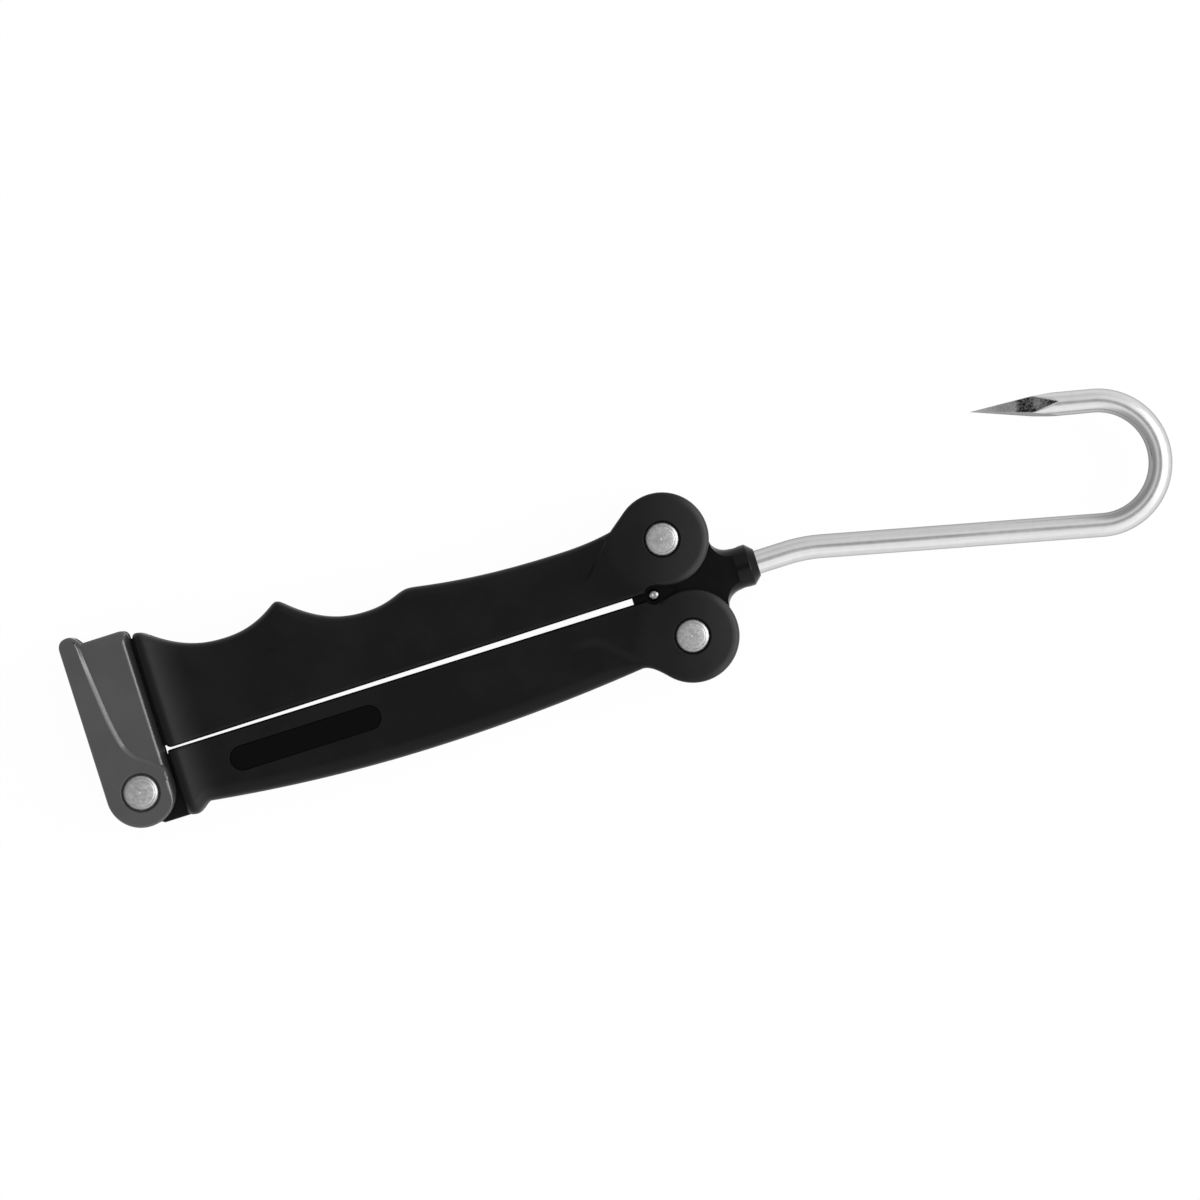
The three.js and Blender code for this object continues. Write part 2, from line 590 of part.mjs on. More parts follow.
// The hook: round wire, with four flat facets ground to a point
function gaffHook() {
  const { path, tip, legAlong } = wirePath();
  const section = new THREE.Shape();
  section.absarc(0, 0, wireRadius, 0, Math.PI * 2, false);
  const wire = solid(new THREE.ExtrudeGeometry(section, {
    steps: path.steps, extrudePath: path, bevelEnabled: false, curveSegments: WIRE_STEPS,
  }));
  const length = POINT_LENGTH + CUT;
  const facetReach = (wireRadius * length) / POINT_LENGTH;
  const pyramid = new THREE.ConeGeometry(facetReach * Math.SQRT2, length, 4);
  const reach = WIRE_DIAMETER * 2;
  const sleeve = new THREE.CylinderGeometry(reach, reach, length + 2 * CUT, SMALL_ROUND);
  sleeve.translate(0, CUT, 0);
  const place = new THREE.Object3D();
  const along = new THREE.Vector3(legAlong.x, legAlong.y, 0);
  place.quaternion.setFromUnitVectors(new THREE.Vector3(0, 1, 0), along);
  place.rotateY(Math.PI / 4 + POINT_TURN);
  place.position.set(tip.x, tip.y, 0).addScaledVector(along, -length / 2);
  place.updateMatrix();
  const facets = solid(pyramid.applyMatrix4(place.matrix));
  const outside = solid(sleeve.applyMatrix4(place.matrix)).subtract(facets);
  return wire.subtract(outside).subtract(crossPinHole());
}

function crossPinHole() {
  const hole = cylinder(CROSS_PIN_DIAMETER / 2 + SEAT_CLEARANCE, -NECK_DIAMETER, NECK_DIAMETER);
  return alongY(hole).translate([CROSS_PIN_PLACE, 0, 0]);
}

// The hub: neck and shoulder turned about X, a web with two flats between the knuckles, and a thinner plate
function hub() {
  const neck = NECK_DIAMETER / 2;
  const shoulder = SHOULDER_WIDTH / 2;
  const flare = Array.from({ length: FLARE_STEPS + 1 }, (_, k) => {
    const angle = (k * Math.PI) / (2 * FLARE_STEPS);
    const drop = (shoulder - neck) * Math.sin(angle);
    return [shoulder - drop, SHOULDER_START + SHOULDER_LENGTH * (1 - Math.cos(angle))];
  });
  const end = [[neck, NECK_END - NECK_CHAMFER], [neck - NECK_CHAMFER, NECK_END], [0, NECK_END]];
  const body = alongX(turned([[0, 0], [shoulder, 0], ...flare, ...end], LARGE_ROUND));
  const flats = plate(rectangle(0, NECK_END + CUT, -shoulder - CUT, shoulder + CUT),
    -WEB_THICKNESS / 2, WEB_THICKNESS / 2);
  const neckOnly = alongX(cylinder(NECK_DIAMETER, SHOULDER_START + SHOULDER_LENGTH, NECK_END + CUT));
  const washerRoom = cylinder(WASHER_DIAMETER / 2 + 2 * SEAT_CLEARANCE, -WEB_THICKNESS, WEB_THICKNESS);
  const socket = alongX(cylinder(wireRadius + SEAT_CLEARANCE, SOCKET_START, NECK_END + CUT));
  const thick = body
    .intersect(flats.add(neckOnly))
    .subtract(washerRoom.translate([0, pivotY, 0]))
    .subtract(washerRoom.translate([0, -pivotY, 0]));
  const half = PLATE_THICKNESS / 2;
  const lug = cylinder(LUG_RADIUS, -half, half, LARGE_ROUND);
  const tail = plate(rectangle(-TAIL_LENGTH, SHOULDER_START, -TAIL_WIDTH / 2, TAIL_WIDTH / 2), -half, half);
  const bore = cylinder(bushingRadius + SEAT_CLEARANCE, -PLATE_THICKNESS, PLATE_THICKNESS);
  const stopHole = cylinder(STOP_PIN_DIAMETER / 2 + SEAT_CLEARANCE, -PLATE_THICKNESS, PLATE_THICKNESS);
  return thick
    .add(tail)
    .add(lug.translate([0, pivotY, 0]))
    .add(lug.translate([0, -pivotY, 0]))
    .subtract(bore.translate([0, pivotY, 0]))
    .subtract(bore.translate([0, -pivotY, 0]))
    .subtract(stopHole.translate([-STOP_PIN_PLACE, 0, 0]))
    .subtract(socket)
    .subtract(crossPinHole());
}

// Latch outline in plan: round at the rivet, square at the far end, with a thumb lobe
function latchOutline() {
  const left = latchPivot.x - latchRadius;
  const right = latchPivot.x + latchRadius;
  const end = latchPivot.y + LATCH_LENGTH;
  const lobeTop = end + LOBE_HEIGHT;
  const lobe = LOBE_WIDTH / 2;
  const outline = new THREE.Shape();
  outline.absarc(latchPivot.x, latchPivot.y, latchRadius, Math.PI, Math.PI * 2, false);
  outline.lineTo(right, end - LATCH_CORNER);
  outline.quadraticCurveTo(right, end, right - LATCH_CORNER, end);
  outline.lineTo(left + LOBE_WIDTH, end);
  outline.quadraticCurveTo(left + LOBE_WIDTH - lobe / 2, lobeTop, left + lobe, lobeTop);
  outline.quadraticCurveTo(left, lobeTop, left, lobeTop - lobe);
  return outline;
}

// The lower panel in each face of the latch, which leaves a raised strip and a round boss
function latchPanel() {
  const left = latchPivot.x - latchRadius;
  const right = latchPivot.x + latchRadius + CUT;
  const end = latchPivot.y + LATCH_LENGTH + CUT;
  const outline = new THREE.Shape();
  outline.moveTo(right, end);
  outline.lineTo(left + PANEL_TOP_INSET, end);
  outline.lineTo(left + PANEL_FOOT_INSET, latchPivot.y + PANEL_FOOT + PANEL_BEND);
  outline.quadraticCurveTo(
    left + PANEL_FOOT_INSET, latchPivot.y + PANEL_FOOT - PANEL_BEND, right, latchPivot.y + PANEL_FOOT / 2);
  return outline;
}

// What the bevel of the panel's edge beside the grips takes away: it widens from the rivet to the square end
function latchBevel() {
  const right = latchPivot.x + latchRadius;
  const top = latchHalf - PANEL_DEPTH;
  const ring = (y, width) => [
    new THREE.Vector3(right + CUT, y, top - width - CUT),
    new THREE.Vector3(right + CUT, y, top + CUT),
    new THREE.Vector3(right - width - CUT, y, top + CUT),
  ];
  const narrow = ring(latchPivot.y, LATCH_CHAMFER - PANEL_DEPTH);
  return loft([narrow, ring(latchPivot.y + LATCH_LENGTH + CUT, LATCH_BEVEL)]);
}

// The latch: two cheeks that are joined only behind the thumb lobe, so that both butts can swing between them
function latch() {
  const body = plate(latchOutline(), -latchHalf, latchHalf, LATCH_CHAMFER);
  const bridgeLow = latchPivot.y + LATCH_LENGTH - BRIDGE_DEPTH;
  const wide = rectangle(latchPivot.x - LATCH_WIDTH, buttX, latchPivot.y - LATCH_WIDTH, bridgeLow);
  const tongueSwing = Math.hypot(buttX - TONGUE_LENGTH, pivotY - TONGUE_LOW) + TONGUE_SWING_CLEARANCE;
  const swing = cylinder(tongueSwing, -cheekInner, cheekInner, LATCH_SWING_ROUND).translate([0, pivotY, 0]);
  const panel = plate(latchPanel(), latchHalf - PANEL_DEPTH, latchHalf + CUT).add(latchBevel());
  return body
    .subtract(plate(wide, -cheekInner, cheekInner))
    .subtract(swing)
    .subtract(panel)
    .subtract(panel.mirror([0, 0, 1]))
    .subtract(rivetRoom(LATCH_HEAD_DIAMETER / 2, latchHalf).translate([latchPivot.x, latchPivot.y, 0]));
}

// A rivet in two parts along Z: a front head with its pin, and a back head with the sleeve that it enters
function rivetHead(radius, faceHalf) {
  const top = faceHalf - HEAD_SINK;
  const rim = [[radius, top - HEAD_CHAMFER], [radius - HEAD_CHAMFER, top]];
  return { top, seat: top - HEAD_THICKNESS, rim };
}

function pivotRivet(radius, faceHalf) {
  const head = rivetHead(radius, faceHalf);
  const pin = sleeveRadius - SLEEVE_WALL - SEAT_CLEARANCE;
  return turned([[0, -head.seat + SEAT_CLEARANCE], [pin, -head.seat + SEAT_CLEARANCE], [pin, head.seat],
    [radius, head.seat], ...head.rim, [0, head.top]]);
}

function rivetSleeve(radius, faceHalf) {
  const head = rivetHead(radius, faceHalf);
  const bore = sleeveRadius - SLEEVE_WALL;
  const rim = head.rim.map(([r, height]) => [r, -height]).reverse();
  return turned([[0, -head.top], ...rim, [radius, -head.seat], [sleeveRadius, -head.seat],
    [sleeveRadius, head.seat - SEAT_CLEARANCE], [bore, head.seat - SEAT_CLEARANCE], [bore, -head.seat],
    [0, -head.seat]]);
}

const washer = () => tube(bushingBore, WASHER_DIAMETER / 2, 0, WASHER_THICKNESS);
const bushing = (length) => tube(bushingBore, bushingRadius, -length / 2, length / 2);

function crossPin() {
  const half = NECK_DIAMETER / 2 - 2 * SEAT_CLEARANCE;
  return alongY(cylinder(CROSS_PIN_DIAMETER / 2, -half, half));
}

function stopPin() {
  return cylinder(STOP_PIN_DIAMETER / 2, -STOP_PIN_LENGTH / 2, STOP_PIN_LENGTH / 2);
}

// Materials
function material(color, roughness, metalness) {
  return new THREE.MeshStandardMaterial({ color, roughness, metalness });
}
const blackGrip = () => material(0x1c1c1c, 0.6, 0);
const blackHub = () => material(0x181818, 0.45, 0);
const greyLatch = () => material(0x5a5a5a, 0.5, 0);
const glossBlack = () => material(0x0c0c0c, 0.15, 0);
const brightSteel = () => material(0xd6d6d6, 0.25, 1);
const brushedSteel = () => material(0xb4b4b4, 0.35, 1);
const bearing = () => material(0xc8b070, 0.4, 1);

// Puts a named piece into a group
function add(group, name, made, look, x = 0, y = 0, z = 0) {
  const mesh = new THREE.Mesh(geometryOf(made), look);
  mesh.name = name;
  mesh.position.set(x, y, z);
  group.add(mesh);
}

const hookAndHub = new THREE.Group();
add(hookAndHub, 'gaff_hook', gaffHook(), brightSteel());
add(hookAndHub, 'hub', hub(), blackHub());
add(hookAndHub, 'hook_cross_pin', crossPin(), brushedSteel(), CROSS_PIN_PLACE);
add(hookAndHub, 'stop_pin', stopPin(), brushedSteel(), -STOP_PIN_PLACE);

const upper = new THREE.Group();
add(upper, 'upper_handle', upperHandle(), blackGrip());

const lower = new THREE.Group();
add(lower, 'lower_handle', lowerHandle(), blackGrip());
add(lower, 'label_plate', labelPlate(), glossBlack());
add(lower, 'latch_bushing', bushing(TANG_THICKNESS), bearing(), latchPivot.x, latchPivot.y);

const latchGroup = new THREE.Group();
const latchHead = LATCH_HEAD_DIAMETER / 2;
const latchPin = pivotRivet(latchHead, latchHalf);
const latchSleeve = rivetSleeve(latchHead, latchHalf);
add(latchGroup, 'latch', latch(), greyLatch());
add(latchGroup, 'latch_rivet', latchPin, brushedSteel(), latchPivot.x, latchPivot.y);
add(latchGroup, 'latch_rivet_sleeve', latchSleeve, brushedSteel(), latchPivot.x, latchPivot.y);

for (const [name, group, side] of [['upper', upper, 1], ['lower', lower, -1]]) {
  const y = side * pivotY;
  add(group, `${name}_pivot_rivet`, pivotRivet(HEAD_DIAMETER / 2, knuckleHalf), brushedSteel(), 0, y);
  add(group, `${name}_rivet_sleeve`, rivetSleeve(HEAD_DIAMETER / 2, knuckleHalf), brushedSteel(), 0, y);
  add(hookAndHub, `${name}_bushing`, bushing(PLATE_THICKNESS), bearing(), 0, y);
}

const washerSeats = [
  ['upper_washer', hookAndHub, 0, pivotY, PLATE_THICKNESS / 2],
  ['lower_washer', hookAndHub, 0, -pivotY, PLATE_THICKNESS / 2],
  ['latch_washer', lower, latchPivot.x, latchPivot.y, TANG_THICKNESS / 2],
];
for (const [name, group, x, y, seat] of washerSeats) {
  add(group, `${name}_front`, washer(), bearing(), x, y, seat + SEAT_CLEARANCE);
  add(group, `${name}_back`, washer(), bearing(), x, y, -seat - SEAT_CLEARANCE - WASHER_THICKNESS);
}

// The whole gaff lies on its back face, with the middle of that face's box at the origin
const assembly = new THREE.Group();
assembly.add(hookAndHub, upper, lower, latchGroup);
const box = new THREE.Box3().setFromObject(assembly, true);
const middle = box.getCenter(new THREE.Vector3());
assembly.position.set(-middle.x, -middle.y, -box.min.z);

const gaff = new THREE.Group();
gaff.name = 'fishing_gaff';
gaff.add(assembly);
export default gaff;
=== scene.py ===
"""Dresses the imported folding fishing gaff: finer surfaces, materials, a plain studio and the camera.

Shapes are worked out in millimetres round the middle of the hub, as the solids are, with X towards the hook,
Y towards the finger hollows and Z from the middle of the thickness to the front. Meshes are in metres.
"""
import json
import math

import bpy
import numpy as np
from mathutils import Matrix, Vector


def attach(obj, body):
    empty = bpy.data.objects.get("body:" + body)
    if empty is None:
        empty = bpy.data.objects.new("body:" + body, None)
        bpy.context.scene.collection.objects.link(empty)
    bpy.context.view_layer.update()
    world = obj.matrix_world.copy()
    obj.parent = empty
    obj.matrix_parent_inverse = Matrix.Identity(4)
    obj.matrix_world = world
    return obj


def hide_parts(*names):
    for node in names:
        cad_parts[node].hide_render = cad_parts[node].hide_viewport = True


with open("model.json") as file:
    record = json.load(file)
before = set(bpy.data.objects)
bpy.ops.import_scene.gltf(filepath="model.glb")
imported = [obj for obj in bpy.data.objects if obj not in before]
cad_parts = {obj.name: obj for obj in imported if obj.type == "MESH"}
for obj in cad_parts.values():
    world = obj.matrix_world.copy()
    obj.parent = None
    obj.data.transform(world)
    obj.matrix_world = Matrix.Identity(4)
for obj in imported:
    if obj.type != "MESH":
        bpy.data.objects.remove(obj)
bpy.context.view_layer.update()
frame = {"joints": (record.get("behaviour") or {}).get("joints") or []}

bl_info = {
    "name": "Folding gaff",
    "version": (1, 0, 0),
    "blender": (4, 5, 0),
    "location": "View3D > Sidebar > Gaff",
    "description": "Finer surfaces and finishes for the pieces of a folding fishing gaff",
    "category": "Object",
}

MM = 0.001
HINGES = {joint["name"]: np.array(joint["pos_m"]) / MM for joint in frame["joints"]}
UPPER_HINGE = HINGES["upper_half_hinge"]
LOWER_HINGE = HINGES["lower_half_hinge"]
HUB_MIDDLE = (UPPER_HINGE + LOWER_HINGE) / 2
PIVOT_Y = (UPPER_HINGE[1] - LOWER_HINGE[1]) / 2
LATCH_PIVOT = (HINGES["latch_hinge"] - HUB_MIDDLE)[:2]

# Clearances and bearings
SEAT_CLEARANCE = 0.15
RUNNING_CLEARANCE = 0.1
SLEEVE_RADIUS = 1.9
SLEEVE_WALL = 0.65
WASHER_RADIUS = 5.5
WASHER_THICKNESS = 0.6
WASHER_BEVEL = 0.1
BUSHING_BORE = SLEEVE_RADIUS + RUNNING_CLEARANCE
BUSHING_RADIUS = BUSHING_BORE + 0.8
BUSHING_BEVEL = 0.15
BUSHING_ROOM = BUSHING_RADIUS + SEAT_CLEARANCE

# Rivet heads, with the depths of their form below the top: each point of the dimple is a radius and a depth
HEAD_CLEARANCE = 0.4
HEAD_SINK = 0.1
HEAD_THICKNESS = 1.1
HEAD_MOUTH_BEVEL = 0.15
HEAD_DIMPLE = [(0, 0.1), (0.12, 0.08), (0.24, 0.01), (0.32, 0)]
HEAD_DOME_START = 0.6
HEAD_DOME_FALL = 0.2
HEAD_DOME_MARGIN = 0.2
HEAD_GROOVE_FALL = 0.27
HEAD_GROOVE_SIDES = (0.12, 0.05)
HEAD_BEVEL_FALL = 0.3
HEAD_BEVEL_CURL = 0.06
RIVET_BEVEL = 0.2

# Hook wire
SOCKET_START = 8.2
SHANK_START = 25.5
SHANK_BEND_RADIUS = 31
SHANK_ANGLE = math.radians(13.3)
SHANK_LENGTH = 57.8
HOOK_BEND_RADIUS = 12
HOOK_BEND_SWEEP = math.radians(181)
LEG_LENGTH = 23.8
POINT_TURN = math.radians(12)
POINT_MARGIN = 1.5

# Painted shade on the point's facets: how dark its tip, its narrow facets, and its broad facets are painted.
# There it grows from the tip, each band is a change and its part of the way back, the lower edge is darker,
# and the kite at the end is a bright painted highlight
TIP_SHADE = 0.3
NARROW_SHADE = 0.12
BROAD_EDGE = (0.7, 0.72)
BROAD_SHADE = (0.35, 0.6)
SHADE_GROWS = (0.1, 0.4)
BANDS = [(0.34, 0.52, 0.56), (-0.2, 0.7, 0.75), (0.14, 0.77, 0.86), (0.12, 0.87, 0.94)]
LOWER_SHADE = 0.25
LOWER_EDGE = (0.4, 0.62)
KITE_SLOPE = 2.414
KITE_EDGE = (0, 0.05)
KITE_START = (0.7, 0.76)
KITE_HIGHLIGHT = 0.9

# Painted shade on the inner side of the wire: where it starts and ends, and on how much of its round and how
# strongly on the runs and on the bend
INNER_SHADE_FROM = (-8, 5)
INNER_SHADE_TO = (-9, 1)
INNER_SHADE_RUN = (0.5, 0.85, 0.4)
INNER_SHADE_BEND = (0.2, 0.5, 1)

# Hub
NECK_RADIUS = 4.075
NECK_END = 16.1
NECK_CHAMFER = 1.4
NECK_ROUND = 0.3
NECK_ROUND_START = NECK_END - NECK_CHAMFER - 0.2
SHOULDER_START = 8.5
SHOULDER_LENGTH = 3.4
SHOULDER_RADIUS = 6.95
WEB_HALF = 3.1
PLATE_THICKNESS = 4.8
LUG_RADIUS = 7.4
LUG_BEVEL = 0.3
TAIL_LENGTH = 8.95
TAIL_WIDTH = 8
TAIL_ROUND = 0.25
TAIL_CLEARANCE = 0.4
STOP_PIN_RADIUS = 1.15
STOP_PIN_TIGHTNESS = 0.01
STOP_PIN_PLACE = -4.75
STOP_PIN_HALF = 5.2
STOP_PIN_CLEARANCE = 0.75
STOP_PIN_DIMPLE = [(0, 0.12), (0.14, 0.1), (0.26, 0.01)]
STOP_PIN_DOME_START = 0.35
STOP_PIN_DOME_ZERO = 0.12
STOP_PIN_DOME_FALL = 0.3
STOP_PIN_DOME_CURL = 0.15
CROSS_PIN_RADIUS = 0.8
CROSS_PIN_PLACE = 12.6
CROSS_PIN_BEVEL = 0.2

# Handle halves
BUTT_WALL = 3.2
SPINE_WALL = 2.6
KNUCKLE_RADIUS = PIVOT_Y - 0.75
KNUCKLE_HALF = 7.4
KNUCKLE_FALL = 0.5
THROAT_END = 4
THROAT_STEP = 0.3
GRIP_HALF = 6.7
INNER_GAP_FRONT = 0.66
INNER_GAP_BUTT = 0.18
INNER_ROUND = 0.9
LIP_LENGTH = 5.2
LIP_FADE = 8.5
LIP_ROUND = 1.8
LIP_FLARE = 2.1
DISH_REACH = 7
ROUND_REACH = 20
CREST_SOFTNESS = 0.6
SLOT_HALF = PLATE_THICKNESS / 2 + WASHER_THICKNESS + 2 * SEAT_CLEARANCE

# The step from a knuckle down to its grip: the slope of its steep line, the height and slope of its shallow
# one, its width, and where along the half it fades in
STEP_FOOT_PLACE = 22.8
UPPER_STEP = {"slope": 1.1, "foot": 5.3, "foot_slope": 0.14, "width": 1, "fade": (-34.4, -16)}
LOWER_STEP = {"slope": 1, "foot": 4.8, "foot_slope": 0.05, "width": 2.4, "fade": (-27, -14)}

# Latch
LATCH_RADIUS = 6.75
LATCH_HALF = 6.4
LATCH_LENGTH = 30.8
LATCH_CORNER = 1.7
LATCH_GAP = 0.5
LATCH_RIM = 0.55
LOBE_WIDTH = 4.4
LOBE_HEIGHT = 1.8
BRIDGE_DEPTH = 2.4
TANG_THICKNESS = 6
TANG_RADIUS = 5.3
TANG_ROUND = 0.3
HEEL_REACH = 4.6
CHEEK_INNER = TANG_THICKNESS / 2 + WASHER_THICKNESS + 2 * SEAT_CLEARANCE
BUTT_X = LATCH_PIVOT[0] + LATCH_RADIUS + LATCH_GAP
BUTT_ROOT = BUTT_X + BUTT_WALL / 2
CHANNEL_END = BUTT_X + BUTT_WALL
TONGUE_LENGTH = 11.2
TONGUE_LOW = 5
TONGUE_HIGH = 15
TONGUE_CORNER = 1.7
TONGUE_ROUND = 0.3
TONGUE_HALF = CHEEK_INNER - 0.4
TONGUE_SWING_CLEARANCE = 0.6
UPPER_SILL = (0.8, 22.4)
LOWER_SILL = (-2, -0.8)

# The latch's bevel beside the grips: where it grows across and at the boss, where it fades at the square end,
# and the slopes of its fall, each with its start past the bevel's width
BEVEL_ACROSS = (3.2, 6.2)
BEVEL_AT_BOSS = (-5.0, -0.5)
BEVEL_AT_END = (LATCH_LENGTH - 2.5, LATCH_LENGTH - 0.2)
BEVEL_REACH = 0.45
BEVEL_CROWDING = 0.6
BEVEL_SLOPES = ((0.53, 0.2), (0.9, -0.35))
BEVEL_SOFTNESS = 0.04

# The strip's ridge from the boss to the square end, and where it is free of the outline. Its foot: its widths
# at the ends and half way up, where it widens and narrows, and its share outside the ridge
RIDGE = [
    (LATCH_RADIUS, 1.6), (5.7, 3.0), (4.3, 4.35), (2.7, 5.5), (0.9, 6.75), (-0.4, 8.6), (-1.1, 10.6),
    (-1.85, 14.6), (-2.45, 20), (-2.95, 25.7), (-LATCH_RADIUS + LOBE_WIDTH - 0.9, LATCH_LENGTH),
]
RIDGE_FREE_ACROSS = 1.5
RIDGE_FREE_FROM = (1.4, 3.2)
RIDGE_FREE_TO = (LATCH_LENGTH - 1.2, LATCH_LENGTH + 0.2)
FOOT_WIDTHS = (0.7, 1.15)
FOOT_WIDENS = (5, 11)
FOOT_NARROWS = (22, 33)
FOOT_OUTSIDE = 0.7
FOOT_SINK = 0.12
FOOT_SOFTNESS = 0.15

# Finger edge: the places and heights of the three hollows and of the crests beside them
BUTT_CREST = (BUTT_X + 0.6, 24.3)
FIRST_HOLLOW = (BUTT_CREST[0] + 16.5, 17.15)
MIDDLE_CREST = (FIRST_HOLLOW[0] + 11.4, 21.2)
SECOND_HOLLOW = (MIDDLE_CREST[0] + 16, 13.75)
FRONT_CREST = (SECOND_HOLLOW[0] + 8, 15.9)
NECK_HOLLOW = (FRONT_CREST[0] + 30.5, 13.15)
NECK_CREST = (-KNUCKLE_RADIUS, NECK_HOLLOW[1] + 0.95)
FINGER_POWER = 2.2
NECK_POWER = 2.3
CORNER_REACH = 9.15
CORNER_TANGENT = 5.7
FINGER_CORNER_ROUND = 3
CORNER_ROUND = 1.2
TANG_CORNER_ROUND = 0.4

# Belly of the lower half
BELLY_PLACE = 53
BELLY_HEIGHT = 15.15
BELLY_DROP_BUTT = 3.2
BELLY_DROP_FRONT = 2.2
BELLY_FRONT_REACH = 41
FILLET_REACH = 11
FILLET_TANGENT = 6.6

# Label inlay
LABEL_LENGTH = 30
LABEL_WIDTH = 4.6
LABEL_THICKNESS = 0.7
LABEL_SINK = 0.2
LABEL_ROUND = 0.08
LABEL_MIDDLE = (BUTT_X + 26.1, -5.9)

# Painted highlight on the halves: how pale their knuckles' faces and rims and their lips are, and where it
# starts and ends
HIGHLIGHT_LEAN = 0.35
FACE_HIGHLIGHT = (0.07, 0.4)
FACE_HIGHLIGHT_SPAN = (-0.7, 1.2)
RIM_HIGHLIGHT = 0.8
RIM_HIGHLIGHT_WIDTHS = (1.6, 0.8)
RIM_HIGHLIGHT_SPAN = (0.2, 0.9)
HIGHLIGHT_FADE = 3
LIP_HIGHLIGHT = 0.6
LIP_HIGHLIGHT_SPAN = (0.8, 3)
HIGHLIGHT_DEPTH = 2.5

# How finely shapes are divided
ROUND_PARTS = 128
PIN_PARTS = 64
CROSS_HOLE_PARTS = 48
SWING_PARTS = 720
WIRE_PARTS = 96
WIRE_ROWS, LEAVING_ROWS, FACET_ROWS = 420, 8, 48
FLARE_PARTS, NECK_PARTS = 24, 4
HEAD_DOME_POINTS, HEAD_BEVEL_POINTS, PIN_DOME_POINTS = 8, 9, 12
RIM_PARTS, PLATE_RIM_PARTS = 8, 4
CORNER_PARTS = 10
THROAT_ROWS, FILLET_ROWS, GRIP_ROWS = 6, 12, 300
KNUCKLE_RINGS = 16
FACE_PARTS = (10, 8, 12, 8, 10)
FACE_SHARES = 12
TANG_PARTS = 48
LABEL_PARTS = 32
LOBE_PARTS, BOSS_PARTS = 12, 72
LATCH_STEP = 0.4
LATCH_RIM_ROWS = 15
SHARP_ANGLE = math.radians(34)
LATCH_SHARP_ANGLE = math.radians(21)
SAME_POINT = 1e-4
SAME_TURN = 1e-6
SUPPORT = 0.06
BEYOND = 1.0


# Sums on whole arrays

def lerp(start, end, share):
    """The value a share of the way from start to end."""
    return start + (end - start) * share


def ease(x, low, high):
    """0 below low, 1 above high, and t * t * (3 - 2 * t) between them."""
    t = np.clip((x - low) / (high - low), 0, 1)
    return t * t * (3 - 2 * t)


def soft_min(values, softness):
    """The lowest of some arrays, less softness * log of the sum of exp((lowest - value) / softness)."""
    low = np.minimum.reduce(values)
    return low - softness * np.log(sum(np.exp((low - value) / softness) for value in values))


def arc(middle, radius, start, end, parts):
    """Points on a circle round a middle, from one angle in degrees to another."""
    angle = np.radians(np.linspace(start, end, parts + 1))
    return np.asarray(middle) + radius * np.stack([np.cos(angle), np.sin(angle)], -1)


def bend(start, pull, end, parts):
    """A quadratic curve: (1 - t)^2 * start + 2 * t * (1 - t) * pull + t^2 * end."""
    t = np.linspace(0, 1, parts + 1)[:, None]
    start, pull, end = (np.asarray(point, float) for point in (start, pull, end))
    return (1 - t) ** 2 * start + 2 * t * (1 - t) * pull + t**2 * end


def through(points, parts):
    """A smooth curve through points: between two of them a cubic whose ends lean to their neighbours."""
    points = np.asarray(points, float)
    padded = np.vstack([2 * points[0] - points[1], points, 2 * points[-1] - points[-2]])
    t = np.linspace(0, 1, parts, endpoint=False)[:, None, None]
    a, b, c, d = padded[:-3], padded[1:-2], padded[2:-1], padded[3:]
    curve = b + 0.5 * t * (c - a + t * (2 * a - 5 * b + 4 * c - d + t * (3 * (b - c) + d - a)))
    return np.vstack([curve.transpose(1, 0, 2).reshape(-1, 2), points[-1:]])


def tidy_outline(*runs):
    """One closed outline from runs of points, without points that lie on the one before."""
    points = np.vstack(runs)
    step = np.linalg.norm(points - np.roll(points, 1, 0), axis=1)
    return points[step > SAME_POINT]


def divided(outline, longest):
    """The same closed outline with extra points, so that no side is longer than the given length."""
    ends = np.roll(outline, -1, 0)
    parts = np.maximum(np.ceil(np.linalg.norm(ends - outline, axis=1) / longest), 1).astype(int)
    start = np.repeat(np.arange(len(outline)), parts)
    first = np.cumsum(parts) - parts
    share = (np.arange(parts.sum()) - first[start]) / parts[start]
    return lerp(outline[start], ends[start], share[:, None])


def inwards(outline):
    """How each point of an anticlockwise outline moves when both its sides move in by one."""
    along = outline - np.roll(outline, 1, 0)
    along /= np.linalg.norm(along, axis=1, keepdims=True)
    normal = np.stack([-along[:, 1], along[:, 0]], -1)
    both = normal + np.roll(normal, -1, 0)
    return 2 * both / (both**2).sum(1, keepdims=True)


# Shapes: a shape is its points and its faces

def skin(rings, closed_rows=False):
    """A closed surface over rings of points: quads between rings, and a flat face on each end ring."""
    rows, columns = rings.shape[:2]
    number = np.arange(rows * columns).reshape(rows, columns)
    if closed_rows:
        number = np.vstack([number, number[:1]])
    here, across = number[:-1], np.roll(number[:-1], -1, 1)
    beyond, both = number[1:], np.roll(number[1:], -1, 1)
    faces = np.stack([here, across, both, beyond], -1).reshape(-1, 4).tolist()
    if not closed_rows:
        faces += [number[0][::-1].tolist(), number[-1].tolist()]
    return rings.reshape(-1, 3), faces


def cone_ended(rings, tips):
    """A closed surface over rings whose first and last rings run to a point each, where a tip is given."""
    points, faces = skin(rings)
    rows, columns = rings.shape[:2]
    faces = faces[: (rows - 1) * columns]
    column = np.arange(columns)
    after = np.roll(column, -1)
    for tip, ring, turned_round in ((tips[0], column, True), (tips[1], column + (rows - 1) * columns, False)):
        if tip is None:
            faces.append(ring[::-1].tolist() if turned_round else ring.tolist())
            continue
        far = np.full(columns, len(points))
        next_ring = ring[after]
        order = [next_ring, ring, far] if turned_round else [ring, next_ring, far]
        faces += np.stack(order, -1).tolist()
        points = np.vstack([points, tip])
    return points, faces


